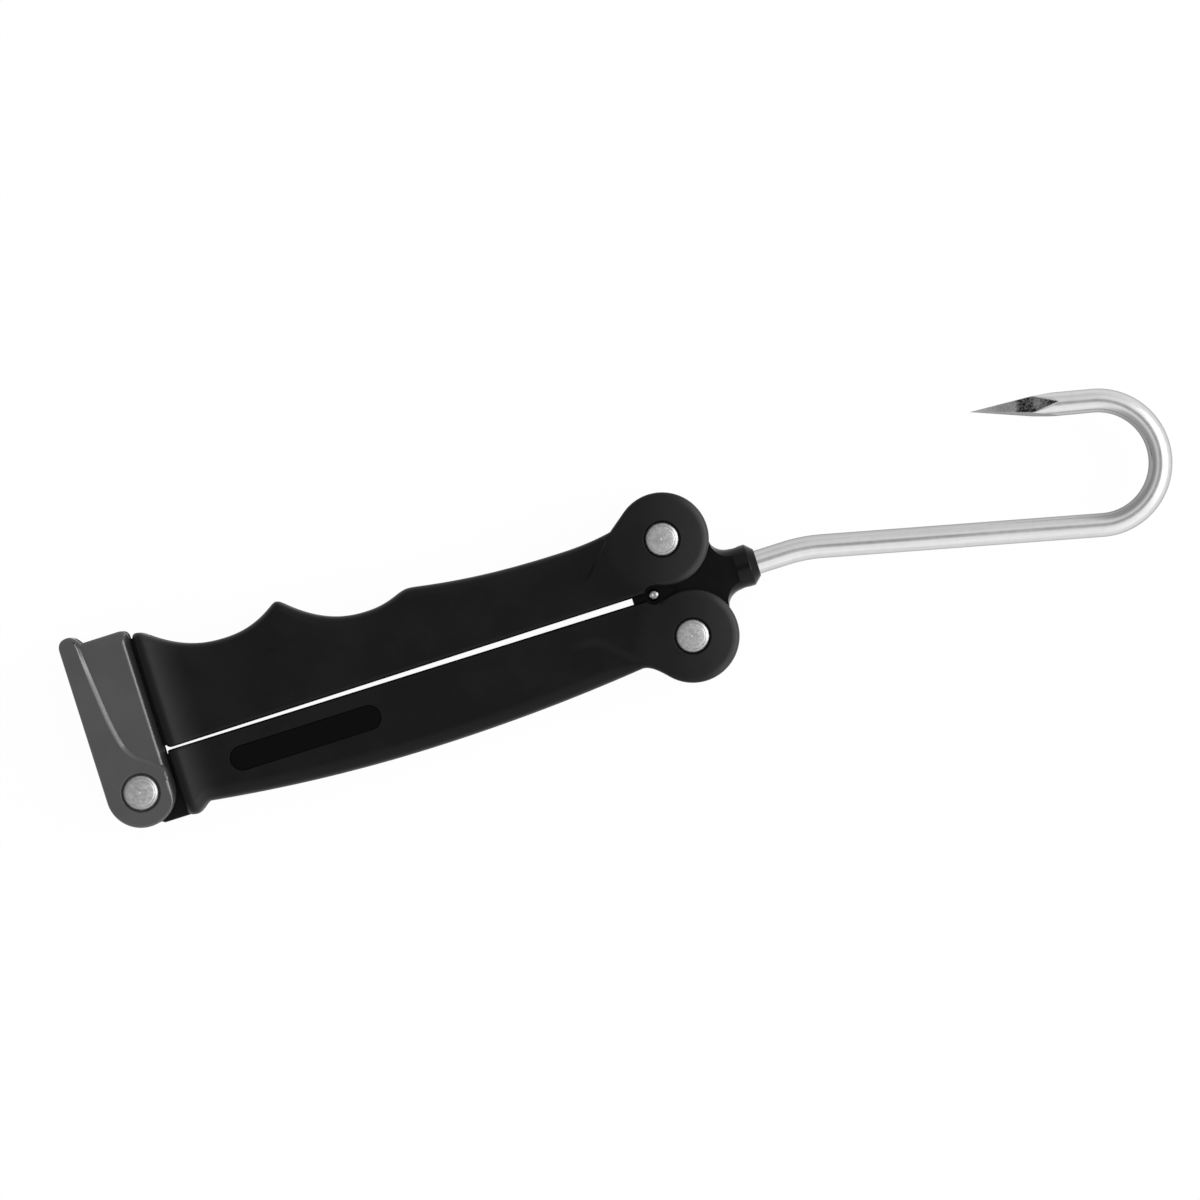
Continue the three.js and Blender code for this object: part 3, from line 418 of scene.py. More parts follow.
def turned(profile, parts=ROUND_PARTS, closed=False):
    """A profile of (radius, height) spun about Z: (r * cos a, r * sin a, h). Its ends lie on the axis."""
    profile = np.asarray(profile, float)
    angle = np.linspace(0, 2 * np.pi, parts, endpoint=False)
    rings = profile if closed else profile[1:-1]
    radius, height = rings[:, :1], rings[:, 1:]
    points = np.stack([radius * np.cos(angle), radius * np.sin(angle), height + 0 * angle], -1)
    if closed:
        return skin(points, closed_rows=True)
    return cone_ended(points, [(0, 0, profile[0][1]), (0, 0, profile[-1][1])])


def two_ended(top):
    """A profile whose lower end mirrors its upper one, which runs from the axis outwards."""
    return [(radius, -height) for radius, height in top] + top[::-1]


def bevelled(radius, half, bevel):
    """Profile of a disc or a pin with both its edges bevelled."""
    return two_ended([(0, half), (radius - bevel, half), (radius, half - bevel)])


def cylinder(radius, low, high, parts=ROUND_PARTS):
    """A plain closed cylinder along Z."""
    return turned([(0, low), (radius, low), (radius, high), (0, high)], parts)


def slab(outline, offsets, heights, low_rim=None):
    """A plate of an outline's shape. Row k of its rim is the outline moved in by offsets[k], at heights[k].

    The back rim mirrors the front one, unless low_rim gives the offsets and heights of its own.
    """
    inward = inwards(outline)
    low_offsets, low_heights = low_rim or (offsets, [-np.asarray(height) for height in heights])
    rows = [(o, h) for o, h in zip(low_offsets, low_heights)][::-1] + list(zip(offsets, heights))
    level = np.ones(len(outline))
    rings = [
        np.column_stack([outline + inward * (offset * level)[:, None], height * level])
        for offset, height in rows
    ]
    return skin(np.stack(rings))


def plate(outline, low, high, rim=0.0):
    """A plate with quarter rounds for rims: in by r * (1 - cos a) and down by r * (1 - sin a)."""
    angle = np.linspace(0, np.pi / 2, PLATE_RIM_PARTS + 1) if rim else np.zeros(1)
    draw, fall = rim * (1 - np.cos(angle)), rim * (1 - np.sin(angle))
    if rim:
        draw, fall = np.append(draw, rim + SUPPORT), np.append(fall, 0)
    return slab(outline, draw, high - fall, (draw, low + fall))


def rectangle(left, right, bottom, top):
    """Corners of a rectangle in plan, anticlockwise."""
    return np.array([(left, bottom), (right, bottom), (right, top), (left, top)], float)


def moved(shape, x=0.0, y=0.0, z=0.0):
    """The shape carried along."""
    return shape[0] + np.array([x, y, z]), shape[1]


def along_x(shape):
    """The shape turned so that its Z runs along X."""
    return shape[0][:, [2, 0, 1]], shape[1]


def along_y(shape):
    """The shape turned so that its Z runs along Y."""
    return shape[0][:, [1, 2, 0]], shape[1]


# Blender meshes from shapes

def mesh_object(name, shape):
    """An object of a shape, in metres in the frame. Its faces turn where its volume would be negative."""
    points, faces = shape
    mesh = bpy.data.meshes.new(name)
    mesh.from_pydata(((points + HUB_MIDDLE) * MM).tolist(), [], faces)
    mesh.update()
    mesh.calc_loop_triangles()
    corners = np.empty(len(mesh.loop_triangles) * 3, np.int32)
    mesh.loop_triangles.foreach_get("vertices", corners)
    a, b, c = points[corners].reshape(-1, 3, 3).transpose(1, 0, 2)
    if (a * np.cross(b, c)).sum() < 0:
        mesh.flip_normals()
    piece = bpy.data.objects.new(name, mesh)
    bpy.context.scene.collection.objects.link(piece)
    return piece


def shaped(name, shape, *changes):
    """A piece from a shape and the changes to it in turn, each an operation and a shape or another piece."""
    piece = mesh_object(name, shape)
    for operation, other in changes:
        tool = other if isinstance(other, bpy.types.Object) else mesh_object(name + "_tool", other)
        change = piece.modifiers.new("change", "BOOLEAN")
        change.operation, change.solver, change.object = operation, "MANIFOLD", tool
        graph = bpy.context.evaluated_depsgraph_get()
        mesh = bpy.data.meshes.new_from_object(piece.evaluated_get(graph))
        piece.modifiers.clear()
        old, piece.data = piece.data, mesh
        for used in (old, tool.data):
            bpy.data.meshes.remove(used)
        if not mesh.polygons:
            raise RuntimeError(f"{name}: nothing is left after {operation}")
    piece.data.name = name
    return piece


def finished(piece, material, body, slot, *nodes, sharp=SHARP_ANGLE):
    """Smooth shading with sharp edges, a material, and the piece's place in the frame."""
    piece.data.shade_smooth()
    piece.data.set_sharp_from_angle(angle=sharp)
    piece.data.materials.clear()
    piece.data.materials.append(material)
    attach(piece, body)
    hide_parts(*nodes)


def add_attribute(piece, name, values):
    """A number or a vector at each point of a piece, for its material."""
    values = np.asarray(values, np.float32)
    kind, field = ("FLOAT_VECTOR", "vector") if values.ndim == 2 else ("FLOAT", "value")
    piece.data.attributes.new(name, kind, "POINT").data.foreach_set(field, values.ravel())


# Shader nodes

class Value:
    """A shader socket that Python arithmetic works on: each operation adds a Math node."""

    def __init__(self, shader, socket):
        self.shader = shader
        self.socket = socket

    def math(self, operation, *others, first=None):
        values = [self if first is None else first, *others]
        inputs = {number: value for number, value in enumerate(values)}
        return self.shader.node("ShaderNodeMath", {"operation": operation}, inputs)

    def __add__(self, other):
        return self.math("ADD", other)

    def __sub__(self, other):
        return self.math("SUBTRACT", other)

    def __rsub__(self, other):
        return self.math("SUBTRACT", self, first=other)

    def __mul__(self, other):
        return self.math("MULTIPLY", other)

    __radd__ = __add__
    __rmul__ = __mul__

    def spread(self, low, high, new_low=0.0, new_high=1.0):
        """The value mapped from one range to another along an S, and held at its ends."""
        return self.shader.node(
            "ShaderNodeMapRange",
            {"interpolation_type": "SMOOTHSTEP"},
            {"Value": self, "From Min": low, "From Max": high, "To Min": new_low, "To Max": new_high},
        )


class Shader:
    """The node tree of a new material or of the world, and the one method that adds a node to it."""

    def __init__(self, name=None, world=None):
        owner = world or bpy.data.materials.new(name)
        owner.use_nodes = True
        self.owner = owner
        self.tree = owner.node_tree
        self.tree.nodes.clear()

    def node(self, kind, settings=None, inputs=None, output=0):
        """A node of a type: first its settings, then its sockets by name or number, as values or links."""
        made = self.tree.nodes.new(kind)
        for name, value in (settings or {}).items():
            setattr(made, name, value)
        for key, value in (inputs or {}).items():
            if isinstance(value, Value):
                self.tree.links.new(value.socket, made.inputs[key])
            else:
                made.inputs[key].default_value = value
        return Value(self, made.outputs[output]) if len(made.outputs) else made

    def attribute(self, name, output="Fac"):
        """What a piece holds at each of its points."""
        return self.node("ShaderNodeAttribute", {"attribute_name": name}, output=output)

    def place(self, size):
        """Object coordinates over a size in metres, so that a pattern of scale 1 has features of it."""
        coordinates = self.node("ShaderNodeTexCoord", output="Object")
        inputs = {0: coordinates, "Scale": 1 / size}
        return self.node("ShaderNodeVectorMath", {"operation": "SCALE"}, inputs)

    def noise(self, where, detail=3.0, roughness=0.55):
        """Smooth noise from 0 to 1."""
        inputs = {"Vector": where, "Scale": 1.0, "Detail": detail, "Roughness": roughness}
        return self.node("ShaderNodeTexNoise", inputs=inputs)

    def mix(self, share, first, second):
        """A colour between two, which are colours or links."""
        inputs = {"Factor": share, 6: first, 7: second}
        return self.node("ShaderNodeMix", {"data_type": "RGBA"}, inputs, output=2)

    def bump(self, height, depth):
        """A normal from a height between 0 and 1, with its depth in metres."""
        return self.node("ShaderNodeBump", inputs={"Height": height, "Distance": depth, "Strength": 1.0})

    def principled(self, **sockets):
        """The material with one surface, from its sockets' names with _ for a space."""
        inputs = {name.replace("_", " "): value for name, value in sockets.items()}
        return self.finish(self.node("ShaderNodeBsdfPrincipled", inputs=inputs))

    def finish(self, surface):
        """The material with a surface that is made already."""
        self.node("ShaderNodeOutputMaterial", inputs={"Surface": surface})
        return self.owner


def tone(color, factor):
    """A colour made lighter or darker by a factor."""
    return (*(min(part * factor, 1.0) for part in color[:3]), 1.0)


# Finishes: the sizes of their patterns in metres, and parts of a noise's range that a pattern keeps
CLOUD_SIZE, RUB_SIZE = 0.011, 0.0035
RIPPLE_SIZE, SCUFF_SIZE = 0.004, 0.0002
STREAK_SCALE, GRINDING_SCALE = (45, 3800, 3800), (9000, 300, 300)
WIRE_MOTTLE_SIZE, SHADE_BLOTCH_SIZE = 0.0016, 0.0005
DENT_SIZE, PIN_SHADE_EDGE = 0.0006, 0.0003
MIDDLE, WIDE, SPECKS, RUBBED = (0.35, 0.65), (0.3, 0.7), (0.35, 0.7), (0.55, 0.75)
HIGHLIGHT_TONE = 12.0


def moulded(name, color, roughness, grain, depth, gloss=0.5, uneven=0.2):
    """Moulded plastic: a fine grain, faint clouds in its colour, and paler where a painted highlight is given
    on the piece.
    """
    shader = Shader(name)
    texture = shader.noise(shader.place(grain), detail=2.0)
    clouds = shader.noise(shader.place(CLOUD_SIZE), detail=4.0, roughness=0.6)
    rub_and_highlight_noise = shader.noise(shader.place(RUB_SIZE), detail=5.0, roughness=0.7)
    pattern = clouds.spread(*MIDDLE) * 0.75 + texture.spread(*SPECKS) * 0.25
    shade = shader.mix(pattern, tone(color, 1 - uneven), tone(color, 1 + uneven))
    # Painted highlight: paler colour on the halves' knuckles towards the hook, on their rims and at their
    # lips
    painted_highlight = shader.attribute("painted_highlight") * rub_and_highlight_noise.spread(0.2, 0.6, 0.8, 1.0)
    dull = clouds.spread(*WIDE, -0.2 * uneven, 0.2 * uneven) + roughness
    return shader.principled(
        Base_Color=shader.mix(painted_highlight, shade, tone(color, HIGHLIGHT_TONE)),
        Roughness=rub_and_highlight_noise.spread(*RUBBED, 0.15 * uneven, -0.25 * uneven) + dull,
        Normal=shader.bump(texture, depth),
        Specular_IOR_Level=gloss,
    )


def glossy_inlay(name, color, roughness, gloss):
    """A glossy inlay: a faint ripple in its gloss and hairline scuffs."""
    shader = Shader(name)
    ripple = shader.noise(shader.place(RIPPLE_SIZE), detail=2.0)
    scuffs = shader.noise(shader.place(SCUFF_SIZE), detail=3.0, roughness=0.7).spread(0.6, 0.72)
    return shader.principled(
        Base_Color=shader.mix(scuffs, color, tone(color, 3.0)),
        Roughness=ripple.spread(*WIDE, 0.0, 0.06) + scuffs * 0.12 + roughness,
        Normal=shader.bump(ripple, 0.00001),
        Specular_IOR_Level=gloss,
    )


def drawn_steel(name, color, roughness):
    """Bright drawn wire: streaks along it, a soft mottle, painted shade on its inner side, and grinding lines
    with painted shade and a painted highlight on its facets.
    """
    shader = Shader(name)
    unbent = shader.attribute("unbent", "Vector")
    ground, inner_shade = shader.attribute("ground"), shader.attribute("inner_shade")
    along, across = (
        shader.node("ShaderNodeMapping", {"vector_type": "POINT"}, {"Vector": unbent, "Scale": scale})
        for scale in (STREAK_SCALE, GRINDING_SCALE)
    )
    streaks, grinding = shader.noise(along, detail=3.0), shader.noise(across, detail=2.0)
    mottle = shader.noise(shader.place(WIRE_MOTTLE_SIZE), detail=3.0)
    blotches = shader.noise(shader.place(SHADE_BLOTCH_SIZE), detail=2.0)
    lines = streaks * (1 - ground) + grinding * ground
    pattern = lines.spread(*WIDE) * 0.7 + mottle.spread(*MIDDLE) * 0.3
    shade = shader.mix(pattern, tone(color, 0.92), tone(color, 1.05))
    # Painted shade: darker on the wire's inner side, most on the hook's bend
    bare = shader.mix(inner_shade, shade, tone(color, 0.5))
    # Painted shade on the point's facets, with the kite left bright as a painted highlight
    facet_shade = ground * blotches.spread(*MIDDLE, 0.88, 1.07)
    return shader.principled(
        Base_Color=shader.mix(facet_shade, bare, tone(color, 0.01)),
        Metallic=1.0,
        Specular_Tint=tone(color, 0.7),
        Roughness=lines.spread(*WIDE, -0.03, 0.03) + mottle.spread(0.4, 0.7, 0.0, 0.03) + roughness,
        Normal=shader.bump(lines, 0.0000025),
    )


def turned_metal(name, color, roughness, pitch, dark_from=1.0):
    """Turned metal: rings sin(2 * pi * r / pitch), small dents, and painted shade from a radius outwards."""
    shader = Shader(name)
    radius = shader.attribute("radius")
    mottle = shader.noise(shader.place(DENT_SIZE), detail=4.0, roughness=0.65)
    rings = (radius * (2 * math.pi / pitch) + mottle * 5).math("SINE") * 0.5 + 0.5
    wear = mottle.spread(*MIDDLE)
    bare = shader.mix(wear * 0.7 + rings * 0.3, tone(color, 0.78), tone(color, 1.1))
    return shader.principled(
        # Painted shade: nearly black past dark_from, round the stop pin's dome
        Base_Color=shader.mix(radius.spread(dark_from, dark_from + PIN_SHADE_EDGE), bare, tone(color, 0.02)),
        Metallic=1.0,
        Roughness=wear * 0.12 + rings * 0.04 + roughness,
        Normal=shader.bump(rings * 0.35 + mottle * 0.65, 0.000012),
    )


# What a user would change

def millimetres(name, description, default):
    """A size in metres, given in millimetres."""
    return bpy.props.FloatProperty(
        name=name, description=description, default=default * MM, min=0.0, precision=5, unit="LENGTH"
    )


def amount(name, description, default, top=1.0):
    """A plain number from 0."""
    return bpy.props.FloatProperty(name=name, description=description, default=default, min=0.0, max=top)


def paint(name, description, *parts):
    """A colour with three parts."""
    return bpy.props.FloatVectorProperty(
        name=name, description=description, default=(*parts, 1.0), size=4, min=0.0, max=1.0, subtype="COLOR"
    )


class GaffSizes(bpy.types.PropertyGroup):
    """Sizes of the pieces that show."""

    wire_diameter: millimetres("Wire diameter", "Thickness of the hook's wire", 4.6)
    point_length: millimetres("Point length", "How far the ground facets run back from the tip", 17)
    knuckle_round: millimetres("Knuckle rounding", "Radius of the rims of the two knuckles", 1.0)
    finger_round: millimetres("Finger rounding", "Radius of the rim along the finger hollows", 2.2)
    finger_dish: millimetres("Finger dish", "How far the face falls towards a finger hollow", 0.9)
    belly_round: millimetres("Belly rounding", "Radius of the rim along the lower half's belly", 2.8)
    pivot_head: millimetres("Pivot rivet head", "Diameter of the rivet heads in the knuckles", 6.4)
    latch_head: millimetres("Latch rivet head", "Diameter of the rivet head in the latch", 6.8)
    head_bevel: millimetres("Rivet head bevel", "Width of the bevel round a rivet head", 0.6)
    latch_bevel: millimetres("Latch bevel", "Width of the bevel beside the grips", 1.35)
    latch_rise: millimetres("Latch strip rise", "How far the latch's strip stands over its panel", 0.45)


class GaffFinishes(bpy.types.PropertyGroup):
    """Colours and finishes."""

    grip: paint("Grip colour", "Moulded black of the two handle halves", 0.003, 0.003, 0.003)
    hub: paint("Hub colour", "Moulded black of the hub", 0.001, 0.001, 0.001)
    latch: paint("Latch colour", "Moulded grey of the latch", 0.056, 0.056, 0.056)
    label: paint("Label colour", "Glossy black of the inlay", 0.0012, 0.0012, 0.0012)
    wire: paint("Wire colour", "Bright stainless wire", 0.68, 0.68, 0.68)
    rivet: paint("Rivet colour", "Steel of the rivets and the stop pin", 0.43, 0.43, 0.43)
    bearing: paint("Bearing colour", "Brass of the bushings and washers", 0.56, 0.41, 0.19)
    grip_roughness: amount("Grip roughness", "Dullness of the handle halves", 0.35)
    latch_roughness: amount("Latch roughness", "Dullness of the latch", 0.23)
    wire_roughness: amount("Wire roughness", "Dullness of the wire", 0.22)
    rivet_roughness: amount("Rivet roughness", "Dullness of the rivet heads", 0.34)
    grain_size: millimetres("Grain size", "Size of the grain in the moulded plastic", 0.16)
    grain_depth: millimetres("Grain depth", "Depth of that grain", 0.006)


class GaffStudio(bpy.types.PropertyGroup):
    """Camera, floor and light."""

    view_width: millimetres("View width", "Width of the picture at the middle of the gaff", 231)
    camera_distance: millimetres("Camera distance", "From the middle of the gaff to the camera", 2000)
    floor_color: paint("Floor colour", "Pale floor under the gaff", 0.94, 0.94, 0.94)
    floor_glow: amount("Floor glow", "Share of plain white in what the camera sees of the floor", 0.97)
    tent_level: amount("Tent level", "Brightness of the white tent round the gaff", 0.98, 10.0)
    tent_slant: amount("Tent slant", "How much brighter the tent is on the hook's side", 0.42)
    tent_opening: amount("Opening level", "Brightness of the opening that the camera looks through", 0.4)
    lamp_level: amount("Lamp level", "Brightness of all lamps", 1.0, 10.0)


# Outlines of the two halves

def hollow(x, place, back_crest, front_crest, power=FINGER_POWER):
    """A hollow in the finger edge: its height, plus the rise to a crest times a power of the way there."""
    back = x < place[0]
    reach = np.where(back, place[0] - back_crest[0], front_crest[0] - place[0])
    rise = np.where(back, back_crest[1] - place[1], front_crest[1] - place[1])
    return place[1] + rise * (np.abs(x - place[0]) / reach) ** power


def knuckle_top(x):
    """Outline of a knuckle over the centre line: a circle round the pivot."""
    return PIVOT_Y + np.sqrt(KNUCKLE_RADIUS**2 - x**2)


def finger_edge(place):
    """Finger edge of the upper half: the soft minimum of three hollows, then a straight run up."""
    x = np.minimum(place, -CORNER_REACH)
    run = np.clip((place + CORNER_REACH) / (CORNER_REACH - CORNER_TANGENT), 0, 1)
    hollows = [
        hollow(x, FIRST_HOLLOW, BUTT_CREST, MIDDLE_CREST),
        hollow(x, SECOND_HOLLOW, MIDDLE_CREST, FRONT_CREST),
        hollow(x, NECK_HOLLOW, FRONT_CREST, NECK_CREST, NECK_POWER),
    ]
    return lerp(soft_min(hollows, CREST_SOFTNESS), knuckle_top(CORNER_TANGENT), run)


def inside_hollow(x):
    """1 at the bottom of either finger hollow, falling along an S to 0 at its crests."""
    def nearness(place, back, front):
        return 1 - np.abs(x - place) / np.where(x < place, place - back, front - place)

    first = nearness(FIRST_HOLLOW[0], BUTT_CREST[0], MIDDLE_CREST[0])
    second = nearness(SECOND_HOLLOW[0], MIDDLE_CREST[0], FRONT_CREST[0])
    return ease(np.maximum(first, second), 0, 1)


def lip(x):
    """0 on the grip and 1 at the butt, along an S."""
    return ease(BUTT_X + LIP_LENGTH - x, 0, LIP_LENGTH - LIP_ROUND)


def lip_face(x):
    """1 at the butt, falling as a share to the third power to 0 on the grip."""
    return np.clip((BUTT_X + LIP_FADE - x) / (LIP_FADE - LIP_ROUND), 0, 1) ** 3


def belly_edge(x):
    """Outer edge of the lower half: a parabola each side of the belly, a lip, and a cubic at the knuckle."""
    back = x < -BELLY_PLACE
    reach = np.where(back, -BELLY_PLACE - BUTT_X - LIP_LENGTH, BELLY_FRONT_REACH)
    drop = np.where(back, BELLY_DROP_BUTT, BELLY_DROP_FRONT) * (np.abs(x + BELLY_PLACE) / reach) ** 2
    plain = BELLY_HEIGHT - drop + LIP_FLARE * lip(x)
    span = FILLET_REACH - FILLET_TANGENT
    t = np.clip((x + FILLET_REACH) / span, 0, 1)
    start = BELLY_HEIGHT - BELLY_DROP_FRONT * ((BELLY_PLACE - FILLET_REACH) / BELLY_FRONT_REACH) ** 2
    end = knuckle_top(FILLET_TANGENT)
    pull = (t**3 - t**2) * span * (FILLET_TANGENT / (end - PIVOT_Y))
    return np.where(x < -FILLET_REACH, plain, lerp(start, end, ease(t, 0, 1)) + pull)


def inner_edge(x):
    """Inner edge of either half: a straight line that nears the centre line towards the butt."""
    return INNER_GAP_FRONT + (INNER_GAP_BUTT - INNER_GAP_FRONT) * (x / BUTT_X)


def end_round(x, radius):
    """How far the skin is drawn in at the butt by a quarter circle of the given radius."""
    past = np.clip(1 - (x - BUTT_X) / radius, 0, 1)
    return radius * (1 - np.sqrt(1 - past**2))


class Half:
    """One handle half: its side, outer edge and roundings, and the step of its raised knuckle face.

    tangent and reach say how far from the pivot the edge meets the knuckle and leaves the grip.
    """

    def __init__(self, side, edge, rim, dish, corner, inner_corner, tangent, reach, step):
        self.side, self.edge, self.rim, self.dish = side, edge, rim, dish
        self.corner, self.inner_corner = corner, inner_corner
        self.tangent, self.reach, self.step = tangent, reach, step

    def step_line(self, x):
        """Where the raised face steps down: the higher of a steep and a shallow line, with a soft corner."""
        steep = self.edge(np.array(-KNUCKLE_RADIUS)) + self.step["slope"] * (x + KNUCKLE_RADIUS)
        shallow = self.step["foot"] + self.step["foot_slope"] * (x + STEP_FOOT_PLACE)
        return -soft_min([-steep, -shallow], CREST_SOFTNESS)

    def height(self, x, across):
        """Half thickness: the grip's, plus the raised knuckle or the lip, less the dish at a hollow."""
        raised = KNUCKLE_HALF - GRIP_HALF
        inside = (self.step_line(x) - across) / self.step["width"] + 0.5
        knuckle_part = raised * ease(x, *self.step["fade"]) * ease(inside, 0, 1)
        edge = self.edge(x)
        dish = self.dish * inside_hollow(x) * ease(across, edge - DISH_REACH, edge)
        return GRIP_HALF + np.maximum(knuckle_part, raised * lip_face(x)) - dish

    def across(self, x, first, last, high):
        """Places across the face, in even parts between knots at the step and the dish."""
        line, half_step = self.step_line(x), self.step["width"] / 2
        least = (last - first) / FACE_SHARES
        wanted = [line - half_step, line + half_step, high - DISH_REACH, high - DISH_REACH / 2]
        knots = [first]
        for left, knot in zip(range(len(wanted), 0, -1), wanted):
            knots.append(np.clip(knot, knots[-1] + least, last - least * left))
        spans = zip(knots, [*knots[1:], last], FACE_PARTS)
        return np.hstack([*(lerp(a, b, np.linspace(0, 1, n, endpoint=False)) for a, b, n in spans), last])

    def skin(self, knuckle_round):
        """Rings across the grip, closed at both ends: inner rim, face, outer rim, and the same behind."""
        end = BUTT_X + LIP_ROUND
        turn = np.linspace(0, np.pi / 2, RIM_PARTS + 1)
        x = np.concatenate([
            np.linspace(-THROAT_END, THROAT_STEP - self.tangent, THROAT_ROWS),
            np.linspace(-self.tangent, -self.reach, FILLET_ROWS, endpoint=False),
            np.linspace(-self.reach, end, GRIP_ROWS, endpoint=False),
            end - LIP_ROUND * np.sin(turn),
        ])[:, None]
        low = inner_edge(x) + end_round(x, self.inner_corner)
        high = np.where(x > -self.tangent, PIVOT_Y, self.edge(x) - end_round(x, self.corner))
        rim = lerp(knuckle_round, self.rim, ease(-x, self.tangent, ROUND_REACH))
        first, last = low + INNER_ROUND, high - rim
        across = self.across(x, first, last, high)
        height = self.height(x, across) - end_round(x, LIP_ROUND)
        draw, fall = np.sin(turn[1:]), 1 - np.cos(turn[1:])
        y = np.hstack([(first - INNER_ROUND * draw)[:, ::-1], across, last + rim * draw])
        z = np.hstack([(height[:, :1] - INNER_ROUND * fall)[:, ::-1], height, height[:, -1:] - rim * fall])
        ring_y, ring_z = np.hstack([y, y[:, ::-1]]) * self.side, np.hstack([z, -z[:, ::-1]])
        return skin(np.stack([x + 0 * ring_y, ring_y, ring_z], -1))


def knuckle(rim):
    """A disc with quarter-round rims. Its faces fall towards the hook by a share squared."""
    turn = np.linspace(0, np.pi / 2, RIM_PARTS + 1)
    flat = np.linspace(0, KNUCKLE_RADIUS - rim, KNUCKLE_RINGS)
    radius = np.concatenate([flat, KNUCKLE_RADIUS - rim + rim * np.sin(turn[1:])])
    height = np.concatenate([KNUCKLE_HALF + 0 * flat, KNUCKLE_HALF - rim + rim * np.cos(turn[1:])])
    profile = np.column_stack([np.append(radius, radius[::-1]), np.append(-height, height[::-1])])
    points, faces = turned(profile)
    past = np.clip((points[:, 0] + THROAT_END) / (KNUCKLE_RADIUS + THROAT_END), 0, 1)
    points[:, 2] *= 1 - KNUCKLE_FALL / KNUCKLE_HALF * past**2
    return points, faces


def rivet_room(head_radius, face):
    """Room for a rivet: a bore, and at each face a counterbore whose mouth is broken by a small bevel."""
    bore, mouth = SLEEVE_RADIUS + SEAT_CLEARANCE, head_radius + HEAD_CLEARANCE
    seat, edge = face - HEAD_SINK - HEAD_THICKNESS - SEAT_CLEARANCE, face - HEAD_MOUTH_BEVEL
    wide = mouth + HEAD_MOUTH_BEVEL
    side = [(bore, seat), (mouth, seat), (mouth, edge), (wide, face), (wide, face + BEYOND)]
    back = np.array(side[::-1]) * (1, -1)
    return turned([(0, -face - BEYOND), *back, *side, (0, face + BEYOND)])


def channel(side):
    """The channel for the folded hook: open along the outer edge and through the knuckle."""
    spine = -(TAIL_LENGTH + TAIL_CLEARANCE)
    beyond = PIVOT_Y + KNUCKLE_RADIUS + HOOK_BEND_RADIUS
    front = KNUCKLE_RADIUS + BEYOND
    outline = np.array([
        (CHANNEL_END, inner_edge(CHANNEL_END) + SPINE_WALL), (spine, inner_edge(spine) + SPINE_WALL),
        (spine, -BEYOND), (front, -BEYOND), (front, beyond), (CHANNEL_END, beyond),
    ])
    if side < 0:
        outline = (outline * (1, -1))[::-1]
    return plate(outline, -SLOT_HALF, SLOT_HALF)


def grip(name, half, at_butt, sill, sizes, *pockets):
    """A handle half: its skin with the plate and sill at its butt and its knuckle, less what is cut out."""
    y = half.side * PIVOT_Y
    room = rivet_room(sizes.pivot_head / MM / 2, KNUCKLE_HALF)
    notch = cylinder(
        STOP_PIN_RADIUS + STOP_PIN_CLEARANCE, -KNUCKLE_HALF - BEYOND, KNUCKLE_HALF + BEYOND, PIN_PARTS
    )
    cuts = [channel(half.side), moved(room, y=y), moved(notch, x=STOP_PIN_PLACE), *pockets]
    piece = shaped(
        name, half.skin(sizes.knuckle_round / MM),
        ("UNION", at_butt),
        ("UNION", plate(rectangle(BUTT_X - LATCH_GAP, BUTT_ROOT, *sill), -TONGUE_HALF, TONGUE_HALF)),
        ("UNION", moved(knuckle(sizes.knuckle_round / MM), y=y)),
        *[("DIFFERENCE", cut) for cut in cuts],
    )
    add_painted_highlight(piece, half.side)
    return piece


def add_painted_highlight(piece, side):
    """How pale each point of a half is painted as a highlight: on the knuckle's face and rim towards the
    hook, and at the lip.

    On the face it grows along an S from behind the pivot to the front, and on the lip it falls with lip_face.
    """
    points = np.empty(len(piece.data.vertices) * 3, np.float32)
    piece.data.vertices.foreach_get("co", points)
    x, y, z = (points.reshape(-1, 3) / MM - HUB_MIDDLE).T
    across = y - side * PIVOT_Y
    distance = np.hypot(x, across)
    towards = (x - HIGHLIGHT_LEAN * across) / KNUCKLE_RADIUS
    start, full = (KNUCKLE_RADIUS - width for width in RIM_HIGHLIGHT_WIDTHS)
    face = FACE_HIGHLIGHT[0] + FACE_HIGHLIGHT[1] * ease(towards, *FACE_HIGHLIGHT_SPAN)
    rim = RIM_HIGHLIGHT * ease(distance, start, full) * ease(towards, *RIM_HIGHLIGHT_SPAN)
    on_knuckle = (1 - ease(distance, KNUCKLE_RADIUS, KNUCKLE_RADIUS + HIGHLIGHT_FADE)) * (face + rim)
    on_lip = LIP_HIGHLIGHT * lip_face(x) ** 0.5 * ease(x, *(BUTT_X + place for place in LIP_HIGHLIGHT_SPAN))
    # Painted highlight, kept near the front and back faces
    add_attribute(piece, "painted_highlight", np.maximum(on_knuckle, on_lip) * (np.abs(z) > GRIP_HALF - HIGHLIGHT_DEPTH))


def grip_plastic(context):
    """The handle halves' black, made once."""
    finishes = context.scene.gaff_finishes
    return bpy.data.materials.get("grip_plastic") or moulded(
        "grip_plastic", finishes.grip, finishes.grip_roughness, finishes.grain_size, finishes.grain_depth,
        gloss=0.14,
    )


def stadium(margin):
    """Outline of the label, grown by a margin: two half circles joined by straight sides."""
    radius = LABEL_WIDTH / 2 + margin
    run = (LABEL_LENGTH - LABEL_WIDTH) / 2
    x, y = LABEL_MIDDLE
    return tidy_outline(
        arc((x - run, y), radius, 90, 270, LABEL_PARTS), arc((x + run, y), radius, -90, 90, LABEL_PARTS)
    )


# The latch

